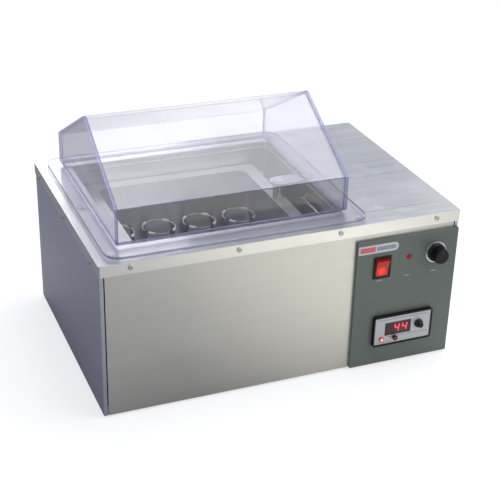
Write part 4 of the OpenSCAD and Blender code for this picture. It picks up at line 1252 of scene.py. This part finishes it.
@dataclass
class Studio:
    """The camera, the lights and the pale floor."""

    yaw: float = 22.66
    pitch: float = 27.14
    roll: float = 1.60
    distance: float = 1.7858
    aim: Point = (0.018, 0.0, 0.1208)
    lens: float = 85.75
    reach: float = 40.0

    def camera(self) -> None:
        """Places the camera."""
        yaw, pitch, roll = (math.radians(a) for a in (self.yaw, self.pitch, self.roll))
        forward = Vector((math.sin(yaw) * math.cos(pitch), math.cos(yaw) * math.cos(pitch), -math.sin(pitch)))
        level = Vector((math.cos(yaw), -math.sin(yaw), 0))
        up = level.cross(forward)
        right = level * math.cos(roll) + up * math.sin(roll)
        top = up * math.cos(roll) - level * math.sin(roll)
        data = bpy.data.cameras.new("camera")
        data.lens = self.lens
        data.sensor_width = 36.0
        data.sensor_fit = "HORIZONTAL"
        data.clip_start = 0.05
        eye = bpy.data.objects.new("camera", data)
        turn = Matrix((right, top, -forward)).transposed().to_4x4()
        eye.matrix_world = Matrix.Translation(Vector(self.aim) - forward * self.distance) @ turn
        bpy.context.scene.collection.objects.link(eye)
        bpy.context.scene.camera = eye

    def ground(self, name: str, height: float, dark: Colour, pale: Colour, glow: float,
               start: float, end: float) -> bpy.types.Object:
        """Lays one level sheet, whose colour runs from dark at the left to pale at the right, painted shade and light
        where the sheet is the reflection card.

        Args:
            name: Its name.
            height: Its level.
            dark: Its colour at the left.
            pale: Its colour at the right.
            glow: How much it shines by itself.
            start: Where the change begins along X.
            end: Where it ends.

        Returns:
            The sheet.
        """
        data = bpy.data.meshes.new(name)
        reach = self.reach
        data.from_pydata([(-reach, -reach, height), (reach, -reach, height),
                          (reach, reach, height), (-reach, reach, height)], [], [(0, 1, 2, 3)])
        sheet = bpy.data.objects.new(name, data)
        shader = Shader(name)
        split = shader.tree.nodes.new("ShaderNodeSeparateXYZ")
        shader.link(shader.place, split.inputs[0])
        # On the reflection card these colours are painted light and shade: dark at the left, pale at the right, dark
        # again past the right end.
        across = shader.total(shader.spread(split.outputs["X"], 0.0, 0.86, start, end),
                              shader.spread(shader.noise(3.0, 3.0), -0.02, 0.02))
        across = shader.total(across, shader.spread(split.outputs["X"], 0.0, 0.16, start - 0.33, start - 0.18))
        across = shader.total(across, shader.spread(split.outputs["X"], 0.0, -0.85, end + 0.02, end + 0.35))
        # Paler further in front, darker close to the bath: a painted contact shadow in the reflections.
        across = shader.total(across, shader.spread(split.outputs["Y"], 0.30, 0.0, -1.1, -0.3))
        colour = shader.blend(across, dark, pale)
        shader.surface(Base_Color=colour, Roughness=0.9, Specular_IOR_Level=0.1,
                       Emission_Color=(1.0, 1.0, 1.0, 1.0), Emission_Strength=glow)
        data.materials.append(shader.material)
        bpy.context.scene.collection.objects.link(sheet)
        return sheet

    def floor(self) -> None:
        """Lays the white floor, and the card that only the steel's reflections see, whose graded colour is painted
        shade and light.
        """
        white = self.ground("floor", 0.0, (0.33, 0.33, 0.33), (0.34, 0.34, 0.34), 0.68, -1.0, 1.0)
        white.visible_glossy = False
        # A painted reflection card: dark at the left and near the bath as painted shade in the steel's reflections.
        card = self.ground("painted_reflection_card", 0.0004, (0.24, 0.24, 0.27), (0.98, 0.96, 0.87), 0.0, -0.12, 0.25)
        card.visible_camera = False
        card.visible_diffuse = False
        card.visible_transmission = False
        card.visible_shadow = False

    def sky(self) -> None:
        """Sets the even light from all round."""
        world = bpy.data.worlds.new("studio")
        bpy.context.scene.world = world
        world.use_nodes = True
        background = world.node_tree.nodes["Background"]
        background.inputs["Color"].default_value = (0.83, 0.88, 1.0, 1.0)
        background.inputs["Strength"].default_value = 0.72

    def lights(self) -> None:
        """Hangs the softboxes."""
        middle = (0.0, 0.0, 0.15)
        for box in (
            Softbox("overhead", (0.65, 0.15, 2.1), middle, 2.0, 1.6, 36.0, (1.0, 1.0, 1.0)),
            Softbox("back_left", (0.35, 2.6, 1.50), middle, 0.9, 0.7, 8.5, (1.0, 1.0, 1.0)),
            Softbox("front_right", (1.7, -1.7, 1.1), middle, 1.2, 1.2, 12.0, (1.0, 0.96, 0.88)),
        ):
            box.build()

    def build(self) -> None:
        """Sets up the studio."""
        self.camera()
        self.floor()
        self.sky()
        self.lights()
        bpy.context.scene.view_settings.view_transform = "Standard"


def main() -> None:
    """Builds the bath and its studio, one sub-assembly after another."""
    logging.basicConfig(level=logging.INFO, format="%(name)s: %(message)s")
    Studio().build()
    Case().dress()
    Tank().dress()
    carriage = Carriage()
    carriage.dress()
    carriage.spring_rings()
    Controls().build()
    Lid().build()


if __name__ == "__main__":
    main()
